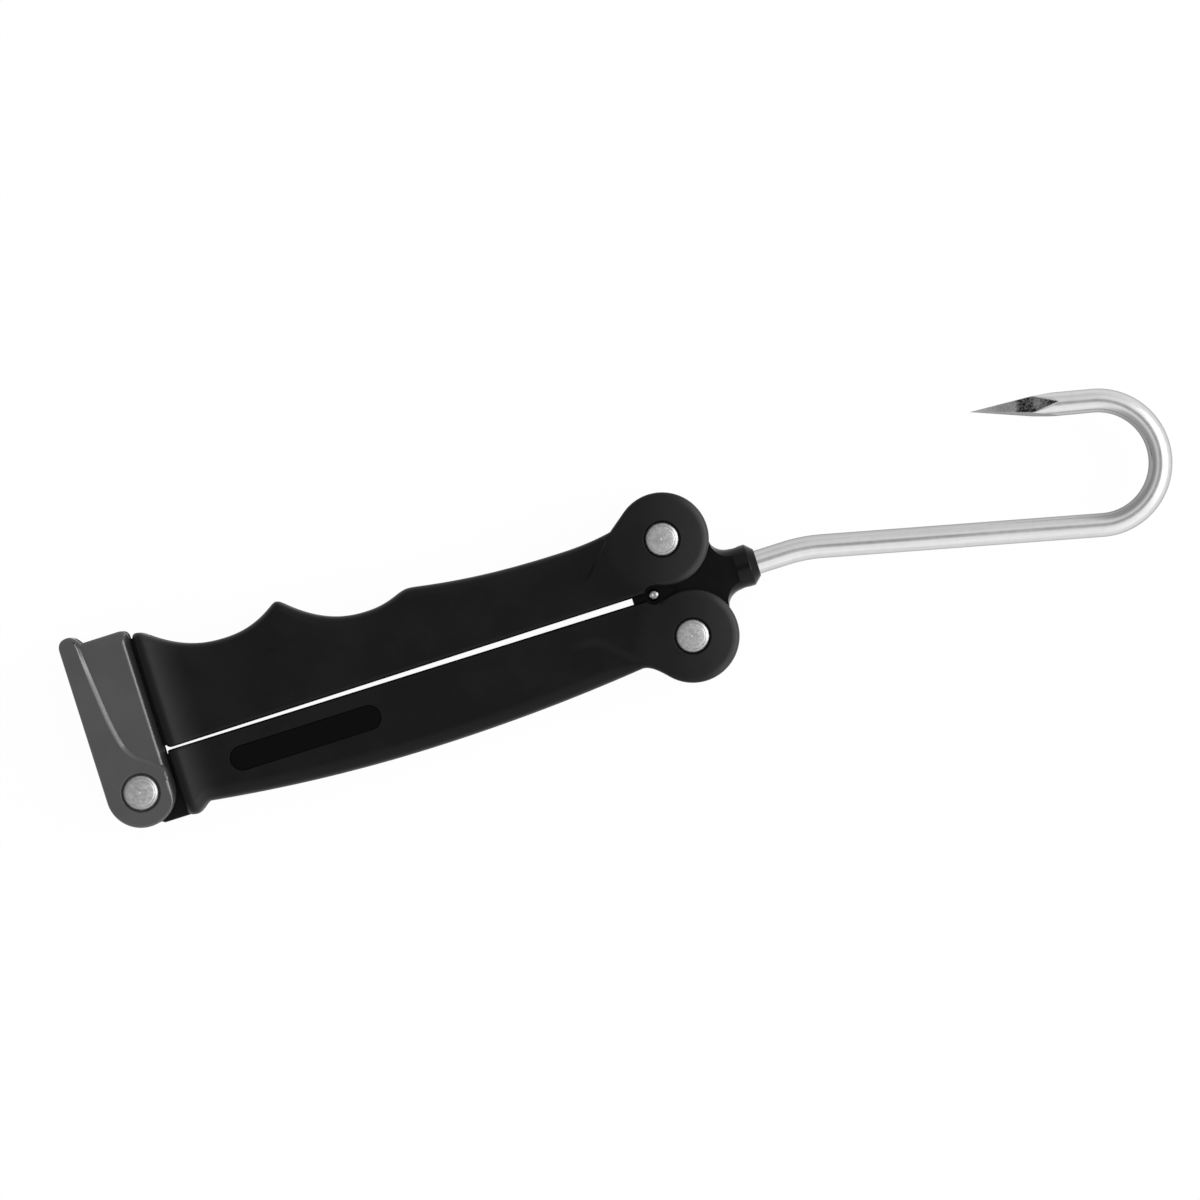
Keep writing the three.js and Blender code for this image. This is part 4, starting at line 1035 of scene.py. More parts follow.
def latch_side():
    """The latch's outer outline in three runs: the lobe's slope, its shoulder, the arc round the rivet."""
    left, middle, top = -LATCH_RADIUS, -LATCH_RADIUS + LOBE_WIDTH / 2, LATCH_LENGTH + LOBE_HEIGHT
    start, pull = (left + LOBE_WIDTH, LATCH_LENGTH), (left + 0.75 * LOBE_WIDTH, top)
    slope = bend(start, pull, (middle, top), LOBE_PARTS)
    shoulder = bend((middle, top), (left, top), (left, top - LOBE_WIDTH / 2), LOBE_PARTS)
    return slope, shoulder, arc((0, 0), LATCH_RADIUS, 180, 360, BOSS_PARTS)


def rim_rows(outline, bevel, top):
    """Offsets and heights of the latch's rim: a quarter round, which turns into a bevel beside the grips.

    The bevel's fall is the sum of two terms slope * s * log(1 + exp((start - offset) / s)), a gentle one with
    its start a little further in, and a steep one.
    """
    x, y = outline.T
    beside = ease(x, *BEVEL_ACROSS) * ease(y, *BEVEL_AT_BOSS) * (1 - ease(y, *BEVEL_AT_END))
    turn = np.linspace(0, np.pi / 2, LATCH_RIM_ROWS)
    offset = (bevel + BEVEL_REACH) * np.linspace(0, 1, LATCH_RIM_ROWS) ** BEVEL_CROWDING
    fall = sum(
        slope * BEVEL_SOFTNESS * np.log1p(np.exp((bevel + start - offset) / BEVEL_SOFTNESS))
        for slope, start in BEVEL_SLOPES
    )
    offsets = [lerp(LATCH_RIM * (1 - np.cos(a)), o, beside) for a, o in zip(turn, offset)]
    heights = [top - lerp(LATCH_RIM * (1 - np.sin(a)), f, beside) for a, f in zip(turn, fall)]
    return [*offsets, offsets[-1] + SUPPORT], [*heights, top + 0 * x]


def latch_body(bevel, rise):
    """The latch's plate at the height of its panel, with the lobe's shape at one corner."""
    slope, shoulder, boss = latch_side()
    right, top = LATCH_RADIUS, LATCH_LENGTH
    corner = bend((right, top - LATCH_CORNER), (right, top), (right - LATCH_CORNER, top), CORNER_PARTS)
    outline = divided(tidy_outline(boss, corner, slope, shoulder), LATCH_STEP)
    return slab(outline, *rim_rows(outline, bevel, LATCH_HALF - rise))


def latch_strip(bevel, rise):
    """The raised strip and boss: their foot spreads over the panel as a ramp with soft ends."""
    slope, shoulder, boss = latch_side()
    start = [*boss[boss[:, 1] < 0], (LATCH_RADIUS, 0.0)]
    outline = divided(tidy_outline(start, through(RIDGE, CORNER_PARTS), slope[2:], shoulder), LATCH_STEP)
    offsets, heights = rim_rows(outline, bevel, LATCH_HALF)
    x, y = outline.T
    free = (x > RIDGE_FREE_ACROSS - LATCH_RADIUS) * ease(y, *RIDGE_FREE_FROM) * (1 - ease(y, *RIDGE_FREE_TO))
    foot = lerp(*FOOT_WIDTHS, ease(y, *FOOT_WIDENS) * (1 - ease(y, *FOOT_NARROWS)))
    t = np.linspace(0, 1, len(offsets))
    ramp = lerp(t, ease(t, 0, 1), FOOT_SOFTNESS)
    offsets = [lerp(o, foot * (a - FOOT_OUTSIDE), free) for o, a in zip(offsets, t)]
    heights = [lerp(h, LATCH_HALF - (rise + FOOT_SINK) * (1 - a), free) for h, a in zip(heights, ramp)]
    return slab(outline, offsets, heights)


# Turned pieces

def rivet_profile(radius, top, bevel):
    """Upper side of a rivet head: a dimple, a dome, a fine groove, and a bevel.

    The dome falls by a share of the radius squared, and the bevel by 0.3 * t + 0.06 * t^6 over its width.
    """
    inner = radius - bevel
    flat = inner - HEAD_DOME_MARGIN
    dome = np.linspace(HEAD_DOME_START, flat, HEAD_DOME_POINTS)
    t = np.linspace(0, 1, HEAD_BEVEL_POINTS)
    fall = HEAD_BEVEL_FALL * t
    rim = np.column_stack([inner + bevel * t, top - HEAD_DOME_FALL - fall - HEAD_BEVEL_CURL * t**6])
    return [
        *[(r, top - depth) for r, depth in HEAD_DIMPLE],
        *[(r, top - HEAD_DOME_FALL * (r / flat) ** 2) for r in dome],
        *[(inner - side, top - HEAD_GROOVE_FALL) for side in HEAD_GROOVE_SIDES],
        *map(tuple, rim),
    ]


def turned_piece(name, profile, place, parts=ROUND_PARTS, closed=False, lying=False):
    """A turned piece in its place, with its radius in metres at each point: ring by ring, then both ends."""
    profile = np.asarray(profile, float)
    shape = turned(profile, parts, closed)
    piece = mesh_object(name, moved(along_y(shape) if lying else shape, *place))
    radius = np.repeat(profile[:, 0] if closed else profile[1:-1, 0], parts)
    add_attribute(piece, "radius", (radius if closed else np.append(radius, [0, 0])) * MM)
    return piece


# Operators

class GAFF_OT_hook(bpy.types.Operator):
    """Makes the hook: a round wire swept along straight runs and arcs, ground to a four-sided point"""

    bl_idname = "gaff.hook"
    bl_label = "Hook wire"

    def execute(self, context):
        sizes, finishes = context.scene.gaff_sizes, context.scene.gaff_finishes
        radius, point = sizes.wire_diameter / MM / 2, sizes.point_length / MM
        corner_run = SHANK_BEND_RADIUS * math.tan(SHANK_ANGLE / 2)
        start = SOCKET_START + 2 * SEAT_CLEARANCE
        runs = np.array([
            SHANK_START - corner_run - start, SHANK_BEND_RADIUS * SHANK_ANGLE, SHANK_LENGTH - corner_run,
            HOOK_BEND_RADIUS * HOOK_BEND_SWEEP, LEG_LENGTH,
        ])
        bends = np.array([0, -1 / SHANK_BEND_RADIUS, 0, 1 / HOOK_BEND_RADIUS, 0])
        total = runs.sum()
        angle = -POINT_TURN + np.pi / 4 + np.linspace(0, 2 * np.pi, WIRE_PARTS, endpoint=False)
        turn = angle + POINT_TURN
        facet_end = point * np.maximum(np.abs(np.cos(turn)), np.abs(np.sin(turn)))
        plain_end = point + POINT_MARGIN
        from_tip = np.vstack([
            np.linspace(total, plain_end, WIRE_ROWS)[:, None] + 0 * angle,
            lerp(plain_end, facet_end, np.linspace(0, 1, LEAVING_ROWS + 1)[1:, None]),
            facet_end * np.linspace(1, 0, FACET_ROWS + 1)[1:-1, None],
        ])
        thickness = radius * np.minimum(from_tip / facet_end, 1)
        place, across = self.line(total - from_tip, runs, bends, start)
        side, front = thickness * np.cos(angle), thickness * np.sin(angle)
        rings = np.concatenate([place + side[..., None] * across, front[..., None]], -1)
        tip = self.line(np.array([total]), runs, bends, start)[0][0]
        piece = mesh_object("hook_wire", cone_ended(rings, [None, (*tip, 0.0)]))
        unbent = np.stack([total - from_tip, side, front], -1).reshape(-1, 3)
        # ground holds the share of grinding lines and the painted shade on the facets; the next attribute is
        # painted shade on the wire's inner side
        ground = self.grinding(from_tip, facet_end, point, turn)
        inner_shade = self.inner_shading(total - from_tip, runs, angle)
        add_attribute(piece, "unbent", np.vstack([unbent, (total, 0, 0)]) * MM)
        add_attribute(piece, "ground", np.append(ground.ravel(), TIP_SHADE))
        add_attribute(piece, "inner_shade", np.append(inner_shade.ravel(), 0))
        steel = drawn_steel("wire_steel", finishes.wire, finishes.wire_roughness)
        finished(piece, steel, "hub_and_hook", "hook_steel", "gaff_hook")
        self.crease(piece.data, rings.shape, WIRE_ROWS + LEAVING_ROWS - 1, turn)
        return {"FINISHED"}

    @staticmethod
    def line(s, runs, bends, start):
        """Place and sideways direction at a length along the wire.

        The heading grows by each run's curvature k. On a bend the place moves by
        ((sin h - sin h0) / k, (cos h0 - cos h) / k), and on a straight run by its length along the heading.
        """
        knots = np.concatenate([[0], np.cumsum(runs)])
        headings = np.concatenate([[0], np.cumsum(runs * bends)])

        def step(run, distance):
            bent = bends[run] != 0
            k = np.where(bent, bends[run], 1)
            h0 = headings[run]
            h = h0 + bends[run] * distance
            x = np.where(bent, (np.sin(h) - np.sin(h0)) / k, distance * np.cos(h0))
            y = np.where(bent, (np.cos(h0) - np.cos(h)) / k, distance * np.sin(h0))
            return np.stack([x, y], -1), h

        ends = np.vstack([[(start, 0)], (start, 0) + np.cumsum(step(np.arange(len(runs)), runs)[0], 0)])
        run = np.clip(np.searchsorted(knots, s, side="right") - 1, 0, len(runs) - 1)
        moved_by, heading = step(run, s - knots[run])
        return ends[run] + moved_by, np.stack([np.sin(heading), -np.cos(heading)], -1)

    @staticmethod
    def grinding(from_tip, facet_end, point, turn):
        """How dark each point of the facets is painted as shade, in bands along the way back from the tip.

        The kite, a painted highlight, is where |cos turn| * back / |sin turn| passes KITE_SLOPE * (1 - back).
        """
        back = from_tip / point
        upright, sideways = np.abs(np.sin(turn)), np.abs(np.cos(turn))
        painted_shade = lerp(*BROAD_SHADE, ease(back, *SHADE_GROWS))
        for change, start, end in BANDS:
            painted_shade = painted_shade + change * ease(back, start, end)
        painted_shade = painted_shade + LOWER_SHADE * ease(-np.cos(turn), *LOWER_EDGE) * ease(back, *BANDS[0][1:])
        beside = sideways * back / upright.clip(0.5) - KITE_SLOPE * (1 - back)
        painted_shade = painted_shade.clip(0, 1) * (1 - KITE_HIGHLIGHT * ease(beside, *KITE_EDGE) * ease(back, *KITE_START))
        on_facet = from_tip <= facet_end * (1 + SAME_POINT)
        return on_facet * lerp(NARROW_SHADE, painted_shade, ease(upright, *BROAD_EDGE))

    @staticmethod
    def inner_shading(s, runs, angle):
        """How dark each point is painted as shade: on the inside of the wire, and most on the hook's bend."""
        bend_start, bend_end = runs.sum() - runs[3:].sum(), runs.sum() - runs[4]
        starting = ease(s, *(bend_start + shift for shift in INNER_SHADE_FROM))
        bent = starting * (1 - ease(s, *(bend_end + shift for shift in INNER_SHADE_TO)))
        low, high, depth = (lerp(on_run, on_bend, bent) for on_run, on_bend in zip(INNER_SHADE_RUN, INNER_SHADE_BEND))
        return ease(-np.cos(angle), low, high) * depth

    @staticmethod
    def crease(mesh, shape, border_row, turn):
        """Marks the edges where facets meet each other and where they leave the wire as sharp."""
        rows, columns = shape[:2]
        flat_side = np.abs(np.abs(np.cos(turn)) - np.abs(np.sin(turn))) < SAME_TURN
        row, column = np.divmod(np.arange(rows * columns), columns)
        on_crease = (row == border_row) | ((row > border_row) & flat_side[column])
        on_crease = np.append(on_crease, True)
        ends = np.empty(len(mesh.edges) * 2, np.int32)
        mesh.edges.foreach_get("vertices", ends)
        both = on_crease[ends.reshape(-1, 2)].all(1)
        sharp = np.zeros(len(mesh.edges), bool)
        mesh.attributes["sharp_edge"].data.foreach_get("value", sharp)
        mesh.attributes["sharp_edge"].data.foreach_set("value", sharp | both)


class GAFF_OT_hub(bpy.types.Operator):
    """Makes the hub: a turned neck and shoulder with two flats, and the thinner plate of the lugs and tail"""

    bl_idname = "gaff.hub"
    bl_label = "Hub"

    def execute(self, context):
        finishes = context.scene.gaff_finishes
        shoulder_end, half = SHOULDER_START + SHOULDER_LENGTH, PLATE_THICKNESS / 2
        turn = np.linspace(0, np.pi / 2, FLARE_PARTS + 1)
        height = SHOULDER_START + SHOULDER_LENGTH * (1 - np.cos(turn))
        flare = zip(lerp(SHOULDER_RADIUS, NECK_RADIUS, np.sin(turn)), height)
        neck = [
            (NECK_RADIUS - NECK_ROUND * (1 - math.cos(a)), NECK_ROUND_START + NECK_ROUND * math.sin(a))
            for a in np.linspace(0, np.pi / 4, NECK_PARTS + 1)
        ]
        rim = NECK_RADIUS - NECK_CHAMFER
        body = turned([(0, 0), (SHOULDER_RADIUS, 0), *flare, *neck, (rim, NECK_END), (0, NECK_END)])
        wide = SHOULDER_RADIUS + BEYOND
        flats = plate(rectangle(0, shoulder_end, -wide, wide), -WEB_HALF, WEB_HALF)
        neck_only = along_x(cylinder(2 * NECK_RADIUS, shoulder_end, NECK_END + BEYOND))
        room = cylinder(WASHER_RADIUS + 2 * SEAT_CLEARANCE, -2 * WEB_HALF, 2 * WEB_HALF)
        lug = turned(bevelled(LUG_RADIUS, half, LUG_BEVEL))
        outline = rectangle(-TAIL_LENGTH, SHOULDER_START, -TAIL_WIDTH / 2, TAIL_WIDTH / 2)
        bore = cylinder(BUSHING_ROOM, -PLATE_THICKNESS, PLATE_THICKNESS)
        stop = cylinder(STOP_PIN_RADIUS - STOP_PIN_TIGHTNESS, -PLATE_THICKNESS, PLATE_THICKNESS, PIN_PARTS)
        wire = context.scene.gaff_sizes.wire_diameter / MM / 2
        socket = along_x(cylinder(wire + SEAT_CLEARANCE, SOCKET_START, NECK_END + BEYOND))
        hole = CROSS_PIN_RADIUS + SEAT_CLEARANCE
        cross = along_y(cylinder(hole, -2 * NECK_RADIUS, 2 * NECK_RADIUS, CROSS_HOLE_PARTS))
        both_sides = (PIVOT_Y, -PIVOT_Y)
        piece = shaped(
            "hub_body", along_x(body),
            ("INTERSECT", shaped("hub_web", flats, ("UNION", neck_only))),
            *[("DIFFERENCE", moved(room, y=y)) for y in both_sides],
            ("UNION", plate(outline, -half, half, TAIL_ROUND)),
            *[("UNION", moved(lug, y=y)) for y in both_sides],
            *[("DIFFERENCE", moved(bore, y=y)) for y in both_sides],
            ("DIFFERENCE", moved(stop, x=STOP_PIN_PLACE)),
            ("DIFFERENCE", socket),
            ("DIFFERENCE", moved(cross, x=CROSS_PIN_PLACE)),
        )
        black = moulded(
            "hub_plastic", finishes.hub, roughness=0.22, grain=0.8 * finishes.grain_size,
            depth=0.3 * finishes.grain_depth, gloss=0.17,
        )
        finished(piece, black, "hub_and_hook", "hub_black", "hub")
        return {"FINISHED"}


class GAFF_OT_pins(bpy.types.Operator):
    """Makes the stop pin with its domed ends and the cross pin that holds the wire"""

    bl_idname = "gaff.pins"
    bl_label = "Pins"

    def execute(self, context):
        finishes = context.scene.gaff_finishes
        roughness = 0.6 * finishes.rivet_roughness
        # dark_from paints the pins nearly black past 0.66 mm from their axis: painted shade round the stop
        # pin's dome
        steel = turned_metal("pin_steel", finishes.rivet, roughness, pitch=0.00012, dark_from=0.00066)
        # The stop pin's dome falls by 0.3 * (t^2 - 0.12) + 0.15 * t^8, where t is a share of its radius
        half = STOP_PIN_HALF
        top = [(r, half - depth) for r, depth in STOP_PIN_DIMPLE]
        for t in np.linspace(STOP_PIN_DOME_START, 1, PIN_DOME_POINTS):
            fall = STOP_PIN_DOME_FALL * (t**2 - STOP_PIN_DOME_ZERO)
            top.append((STOP_PIN_RADIUS * t, half - fall - STOP_PIN_DOME_CURL * t**8))
        stop = turned_piece("stop_pin_turned", two_ended(top), (STOP_PIN_PLACE,), PIN_PARTS)
        finished(stop, steel, "hub_and_hook", "pin_steel", "stop_pin")
        profile = bevelled(CROSS_PIN_RADIUS, NECK_RADIUS - 2 * SEAT_CLEARANCE, CROSS_PIN_BEVEL)
        cross = turned_piece("cross_pin_turned", profile, (CROSS_PIN_PLACE,), PIN_PARTS, lying=True)
        finished(cross, steel, "hub_and_hook", "pin_steel", "hook_cross_pin")
        return {"FINISHED"}


class GAFF_OT_upper_grip(bpy.types.Operator):
    """Makes the upper half: hollows for the fingers, a raised knuckle and the tongue under the latch"""

    bl_idname = "gaff.upper_grip"
    bl_label = "Upper half"

    def execute(self, context):
        sizes = context.scene.gaff_sizes
        half = Half(
            1, finger_edge, rim=sizes.finger_round / MM, dish=sizes.finger_dish / MM,
            corner=FINGER_CORNER_ROUND, inner_corner=CORNER_ROUND,
            tangent=CORNER_TANGENT, reach=CORNER_REACH, step=UPPER_STEP,
        )
        end = BUTT_X - TONGUE_LENGTH
        low, high, corner = TONGUE_LOW, TONGUE_HIGH, TONGUE_CORNER
        outline = tidy_outline(
            [(BUTT_ROOT, low), (BUTT_ROOT, high)],
            bend((end + corner, high), (end, high), (end, high - corner), CORNER_PARTS),
            bend((end, low + corner), (end, low), (end + corner, low), CORNER_PARTS),
        )
        tongue = plate(outline, -TONGUE_HALF, TONGUE_HALF, TONGUE_ROUND)
        piece = grip("upper_grip", half, tongue, UPPER_SILL, sizes)
        finished(piece, grip_plastic(context), "upper_half", "grip_black", "upper_handle")
        return {"FINISHED"}


class GAFF_OT_lower_grip(bpy.types.Operator):
    """Makes the lower half: a plain belly, a raised knuckle, the tang for the latch and the label's pocket"""

    bl_idname = "gaff.lower_grip"
    bl_label = "Lower half"

    def execute(self, context):
        sizes = context.scene.gaff_sizes
        half = Half(
            -1, belly_edge, rim=sizes.belly_round / MM, dish=0,
            corner=CORNER_ROUND, inner_corner=TANG_CORNER_ROUND,
            tangent=FILLET_TANGENT, reach=FILLET_REACH, step=LOWER_STEP,
        )
        heel = -float(belly_edge(np.array(BUTT_X)))
        outline = tidy_outline(
            [(BUTT_ROOT, heel), (BUTT_ROOT, LATCH_PIVOT[1] + TANG_RADIUS)],
            arc(LATCH_PIVOT, TANG_RADIUS, 90, 270, TANG_PARTS),
            [(BUTT_X - HEEL_REACH, heel)],
        )
        tang = plate(outline, -TANG_THICKNESS / 2, TANG_THICKNESS / 2, TANG_ROUND)
        bore = cylinder(BUSHING_ROOM, -TANG_THICKNESS, TANG_THICKNESS)
        floor = GRIP_HALF - LABEL_SINK - LABEL_THICKNESS - SEAT_CLEARANCE
        pocket = plate(stadium(SEAT_CLEARANCE), floor, GRIP_HALF + BEYOND)
        piece = grip("lower_grip", half, tang, LOWER_SILL, sizes, moved(bore, *LATCH_PIVOT), pocket)
        finished(piece, grip_plastic(context), "lower_half", "grip_black", "lower_handle")
        return {"FINISHED"}


class GAFF_OT_label(bpy.types.Operator):
    """Makes the bare glossy inlay in the lower half"""

    bl_idname = "gaff.label"
    bl_label = "Label inlay"

    def execute(self, context):
        top = GRIP_HALF - LABEL_SINK
        piece = mesh_object("label_inlay", plate(stadium(0), top - LABEL_THICKNESS, top, LABEL_ROUND))
        gloss = glossy_inlay("label_gloss", context.scene.gaff_finishes.label, roughness=0.12, gloss=0.1)
        finished(piece, gloss, "lower_half", "label_black", "label_plate")
        return {"FINISHED"}


class GAFF_OT_latch(bpy.types.Operator):
    """Makes the latch: a stirrup with a thumb lobe, a raised strip and boss, and a bevel beside the grips"""

    bl_idname = "gaff.latch"
    bl_label = "Latch"

    def execute(self, context):
        sizes, finishes = context.scene.gaff_sizes, context.scene.gaff_finishes
        x, y = LATCH_PIVOT
        bevel, rise = sizes.latch_bevel / MM, sizes.latch_rise / MM
        slot = rectangle(
            x - 2 * LATCH_RADIUS, BUTT_X, y - 2 * LATCH_RADIUS, y + LATCH_LENGTH - BRIDGE_DEPTH
        )
        reach = math.hypot(BUTT_X - TONGUE_LENGTH, PIVOT_Y - TONGUE_LOW) + TONGUE_SWING_CLEARANCE
        swing = cylinder(reach, -CHEEK_INNER, CHEEK_INNER, SWING_PARTS)
        piece = shaped(
            "latch_stirrup", moved(latch_body(bevel, rise), x, y),
            ("UNION", moved(latch_strip(bevel, rise), x, y)),
            ("DIFFERENCE", plate(slot, -CHEEK_INNER, CHEEK_INNER)),
            ("DIFFERENCE", moved(swing, y=PIVOT_Y)),
            ("DIFFERENCE", moved(rivet_room(sizes.latch_head / MM / 2, LATCH_HALF), x, y)),
        )
        grey = moulded(
            "latch_plastic", finishes.latch, finishes.latch_roughness, finishes.grain_size,
            depth=0.25 * finishes.grain_depth, uneven=0.07,
        )
        finished(piece, grey, "butt_latch", "latch_grey", "latch", sharp=LATCH_SHARP_ANGLE)
        return {"FINISHED"}


class GAFF_OT_rivets(bpy.types.Operator):
    """Makes the three rivets, each a front head with its pin and a back head with its sleeve"""

    bl_idname = "gaff.rivets"
    bl_label = "Rivets"

    def execute(self, context):
        sizes, finishes = context.scene.gaff_sizes, context.scene.gaff_finishes
        steel = turned_metal("rivet_steel", finishes.rivet, finishes.rivet_roughness, pitch=0.00016)
        pivot, latch = sizes.pivot_head / MM / 2, sizes.latch_head / MM / 2
        rivets = [
            ("upper", "upper_pivot_rivet", "upper_half", (0, PIVOT_Y), pivot, KNUCKLE_HALF),
            ("lower", "lower_pivot_rivet", "lower_half", (0, -PIVOT_Y), pivot, KNUCKLE_HALF),
            ("latch", "latch_rivet", "butt_latch", LATCH_PIVOT, latch, LATCH_HALF),
        ]
        bore = SLEEVE_RADIUS - SLEEVE_WALL
        core = bore - SEAT_CLEARANCE
        for name, node, body, place, radius, face in rivets:
            top = face - HEAD_SINK
            seat = top - HEAD_THICKNESS
            end = SEAT_CLEARANCE - seat
            head = [*rivet_profile(radius, top, sizes.head_bevel / MM), (radius, seat)]
            pin = [(core, seat), (core, end + RIVET_BEVEL), (core - RIVET_BEVEL, end), (0, end)]
            sleeve = [(SLEEVE_RADIUS, seat), (SLEEVE_RADIUS, end), (bore, end), (bore, seat), (0, seat)]
            front = turned_piece(f"{name}_rivet_head", head + pin, place)
            finished(front, steel, body, "pin_steel", node)
            back = turned_piece(f"{name}_rivet_tail", np.array(head + sleeve) * (1, -1), place)
            finished(back, steel, body, "pin_steel", f"{name}_rivet_sleeve")
        return {"FINISHED"}


class GAFF_OT_bearings(bpy.types.Operator):
    """Makes the three bushings and six washers between the moving pieces: rings with bevelled edges"""

    bl_idname = "gaff.bearings"
    bl_label = "Bearings"

    def execute(self, context):
        color = context.scene.gaff_finishes.bearing
        brass = turned_metal("bearing_brass", color, roughness=0.32, pitch=0.0002)
        places = [
            ("upper", "hub_and_hook", (0, PIVOT_Y), PLATE_THICKNESS / 2),
            ("lower", "hub_and_hook", (0, -PIVOT_Y), PLATE_THICKNESS / 2),
            ("latch", "lower_half", LATCH_PIVOT, TANG_THICKNESS / 2),
        ]
        for name, body, place, half in places:
            near, far = half + SEAT_CLEARANCE, half + SEAT_CLEARANCE + WASHER_THICKNESS
            rings = [
                ("bearing", "bushing", BUSHING_RADIUS, -half, half, BUSHING_BEVEL),
                ("washer_front_ring", "washer_front", WASHER_RADIUS, near, far, WASHER_BEVEL),
                ("washer_back_ring", "washer_back", WASHER_RADIUS, -far, -near, WASHER_BEVEL),
            ]
            for part, node, radius, low, high, bevel in rings:
                inside, outside = BUSHING_BORE + bevel, radius - bevel
                profile = [
                    (BUSHING_BORE, low + bevel), (inside, low), (outside, low), (radius, low + bevel),
                    (radius, high - bevel), (outside, high), (inside, high), (BUSHING_BORE, high - bevel),
                ]
                ring = turned_piece(f"{name}_{part}", profile, place, closed=True)
                finished(ring, brass, body, "bearing_brass", f"{name}_{node}")
        return {"FINISHED"}


# Studio. A lamp is a name, its direction in the picture and height over the floor in degrees, its brightness,
# and its width and height
PICTURE_TURN = math.radians(-17.61)
PICTURE_MIDDLE = Vector((-0.00588, -0.00151, 0.0074))
SOFTBOXES = [("key_right", 12, 34, 8.5, 1.1, 0.3), ("fill_right", 5, 56, 0.6, 0.6, 0.6)]
SOFTBOX_DISTANCE = 1.3
BRIGHT_SIDE = math.radians(-25) + PICTURE_TURN
TENT_WALL, TENT_EDGE = (0.02, 0.3), (0.93, 0.99)
CAMERA_REACH = 20
FLOOR_HALF, FLOOR_LEVEL, FLOOR_ROUGHNESS = 3.0, -0.00002, 0.9
WHITE = (1, 1, 1, 1)


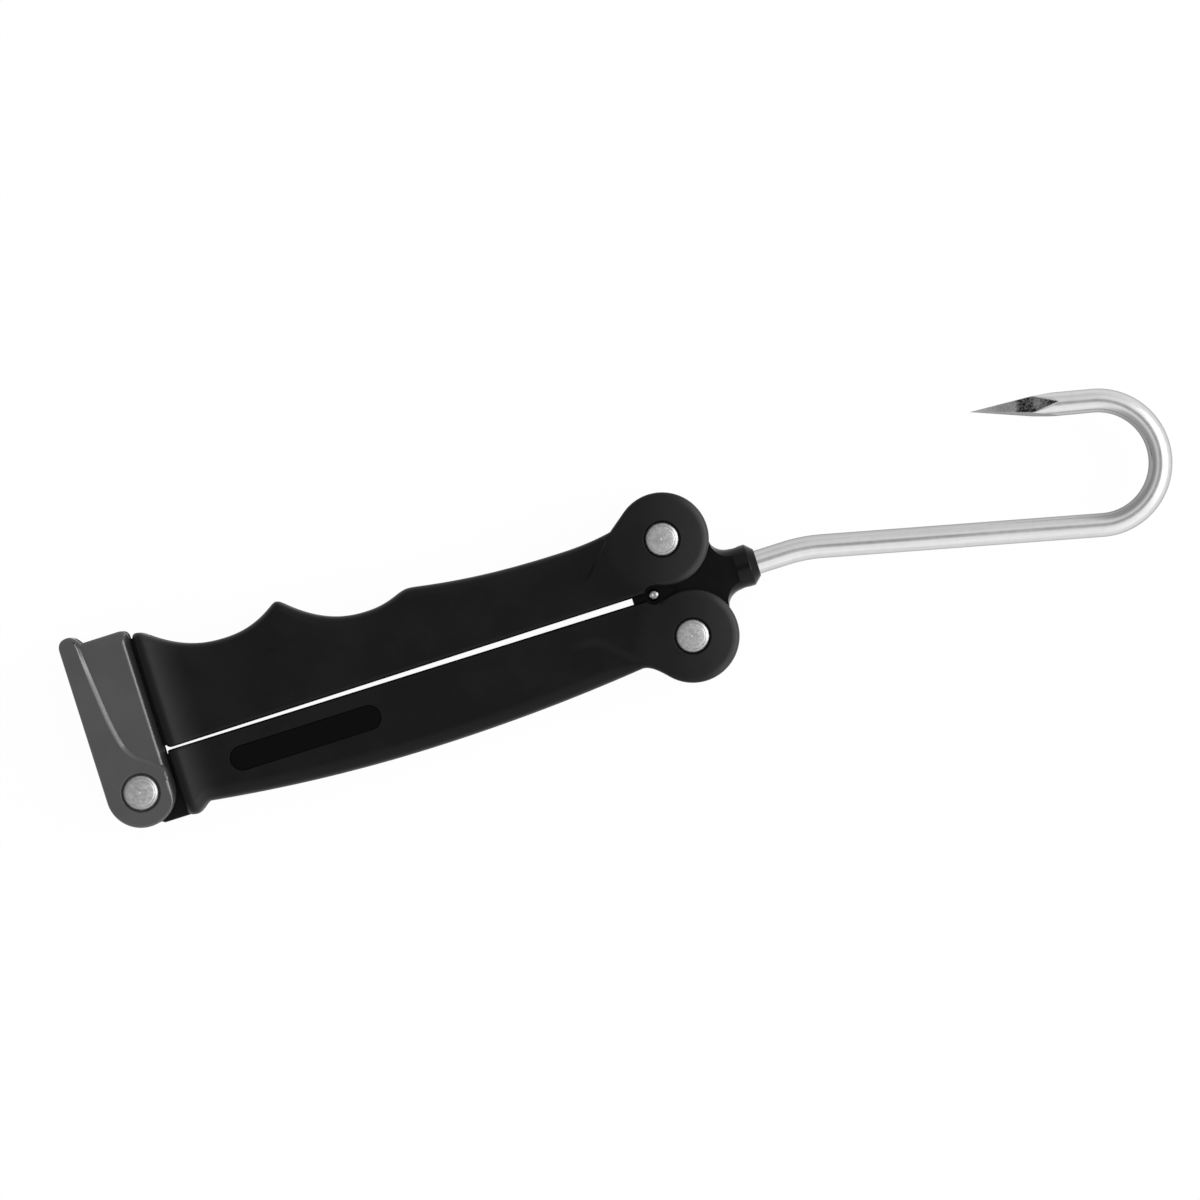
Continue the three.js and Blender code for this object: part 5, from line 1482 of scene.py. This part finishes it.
class GAFF_OT_studio(bpy.types.Operator):
    """Makes the pale floor, the soft lamps, the world's light and the camera over the gaff"""

    bl_idname = "gaff.studio"
    bl_label = "Studio"

    def execute(self, context):
        studio = context.scene.gaff_studio
        self.camera(context, studio)
        self.floor(context, studio)
        self.world(context, studio)
        for name, direction, height, level, *size in SOFTBOXES:
            self.softbox(context, name, direction, height, level * studio.lamp_level, size)
        context.scene.view_settings.view_transform = "Standard"
        return {"FINISHED"}

    @staticmethod
    def camera(context, studio):
        """A camera straight over the gaff, turned as the photograph was taken."""
        data = bpy.data.cameras.new("camera")
        data.sensor_fit = "HORIZONTAL"
        data.lens = data.sensor_width * studio.camera_distance / studio.view_width
        data.clip_end = CAMERA_REACH
        camera = bpy.data.objects.new("camera", data)
        camera.location = PICTURE_MIDDLE + Vector((0, 0, studio.camera_distance))
        camera.rotation_euler.z = PICTURE_TURN
        context.scene.collection.objects.link(camera)
        context.scene.camera = camera

    @staticmethod
    def floor(context, studio):
        """A plain pale floor. The camera and reflections see it mixed with plain white, under the shadow."""
        corners = rectangle(-FLOOR_HALF, FLOOR_HALF, -FLOOR_HALF, FLOOR_HALF).tolist()
        mesh = bpy.data.meshes.new("floor")
        mesh.from_pydata([(*corner, FLOOR_LEVEL) for corner in corners], [], [(0, 1, 2, 3)])
        floor = bpy.data.objects.new("floor", mesh)
        context.scene.collection.objects.link(floor)
        shader = Shader("floor_paper")
        camera, glossy, through_glass = (
            shader.node("ShaderNodeLightPath", output=f"Is {kind} Ray")
            for kind in ("Camera", "Glossy", "Transmission")
        )
        seen = (camera + glossy + through_glass).math("MINIMUM", 1.0) * studio.floor_glow
        look = {"Base Color": studio.floor_color, "Roughness": FLOOR_ROUGHNESS}
        paper = shader.node("ShaderNodeBsdfPrincipled", inputs=look)
        white = shader.node("ShaderNodeEmission", inputs={"Color": WHITE, "Strength": 1.0})
        both = shader.node("ShaderNodeMixShader", inputs={0: seen, 1: paper, 2: white})
        mesh.materials.append(shader.finish(both))

    @staticmethod
    def world(context, studio):
        """A white tent round the gaff: even at the horizon, brighter at the hook, and open overhead."""
        world = bpy.data.worlds.new("studio")
        context.scene.world = world
        shader = Shader(world=world)
        direction = shader.node("ShaderNodeTexCoord", output="Generated")
        up = shader.node("ShaderNodeSeparateXYZ", inputs={0: direction}, output=2)
        inputs = {0: direction, 1: (math.cos(BRIGHT_SIDE), math.sin(BRIGHT_SIDE), 0)}
        side = shader.node("ShaderNodeVectorMath", {"operation": "DOT_PRODUCT"}, inputs, output="Value")
        wall = side * studio.tent_slant * up.spread(*TENT_WALL) + studio.tent_level
        opening = up.spread(*TENT_EDGE)
        level = wall * (1 - opening) + opening * studio.tent_opening
        sky = shader.node("ShaderNodeBackground", inputs={"Color": WHITE, "Strength": level})
        shader.node("ShaderNodeOutputWorld", inputs={"Surface": sky})

    @staticmethod
    def softbox(context, name, direction, height, level, size):
        """An oblong lamp that faces the gaff. Its power is its brightness times pi times its area."""
        data = bpy.data.lights.new(name, "AREA")
        data.shape = "RECTANGLE"
        data.size, data.size_y = size
        data.energy = level * math.pi * size[0] * size[1]
        lamp = bpy.data.objects.new(name, data)
        around, up = math.radians(direction) + PICTURE_TURN, math.radians(height)
        towards = Vector((math.cos(up) * math.cos(around), math.cos(up) * math.sin(around), math.sin(up)))
        lamp.location = PICTURE_MIDDLE + SOFTBOX_DISTANCE * towards
        lamp.rotation_euler = towards.to_track_quat("Z", "Y").to_euler()
        lamp.visible_camera = False
        context.scene.collection.objects.link(lamp)


class GAFF_PT_parts(bpy.types.Panel):
    """Lists the pieces and what can be changed on them"""

    bl_idname = "GAFF_PT_parts"
    bl_label = "Folding gaff"
    bl_space_type = "VIEW_3D"
    bl_region_type = "UI"
    bl_category = "Gaff"

    def draw(self, context):
        for operator in OPERATORS:
            self.layout.operator(operator.bl_idname)
        for group in GROUPS:
            box = self.layout.box()
            for name in GROUPS[group].__annotations__:
                box.prop(getattr(context.scene, group), name)


GROUPS = {"gaff_sizes": GaffSizes, "gaff_finishes": GaffFinishes, "gaff_studio": GaffStudio}
OPERATORS = [
    GAFF_OT_studio, GAFF_OT_hook, GAFF_OT_hub, GAFF_OT_pins, GAFF_OT_upper_grip, GAFF_OT_lower_grip,
    GAFF_OT_label, GAFF_OT_latch, GAFF_OT_rivets, GAFF_OT_bearings,
]


def register():
    """Adds the groups of sizes, the operators and the panel to Blender."""
    for made in [*GROUPS.values(), *OPERATORS, GAFF_PT_parts]:
        bpy.utils.register_class(made)
    for name, group in GROUPS.items():
        setattr(bpy.types.Scene, name, bpy.props.PointerProperty(type=group))


def unregister():
    """Takes them out again."""
    for name in GROUPS:
        delattr(bpy.types.Scene, name)
    for made in [GAFF_PT_parts, *reversed(OPERATORS), *GROUPS.values()]:
        bpy.utils.unregister_class(made)


def main():
    """Makes every piece and the studio."""
    register()
    for operator in OPERATORS:
        group, name = operator.bl_idname.split(".")
        getattr(getattr(bpy.ops, group), name)()


if __name__ == "__main__":
    main()
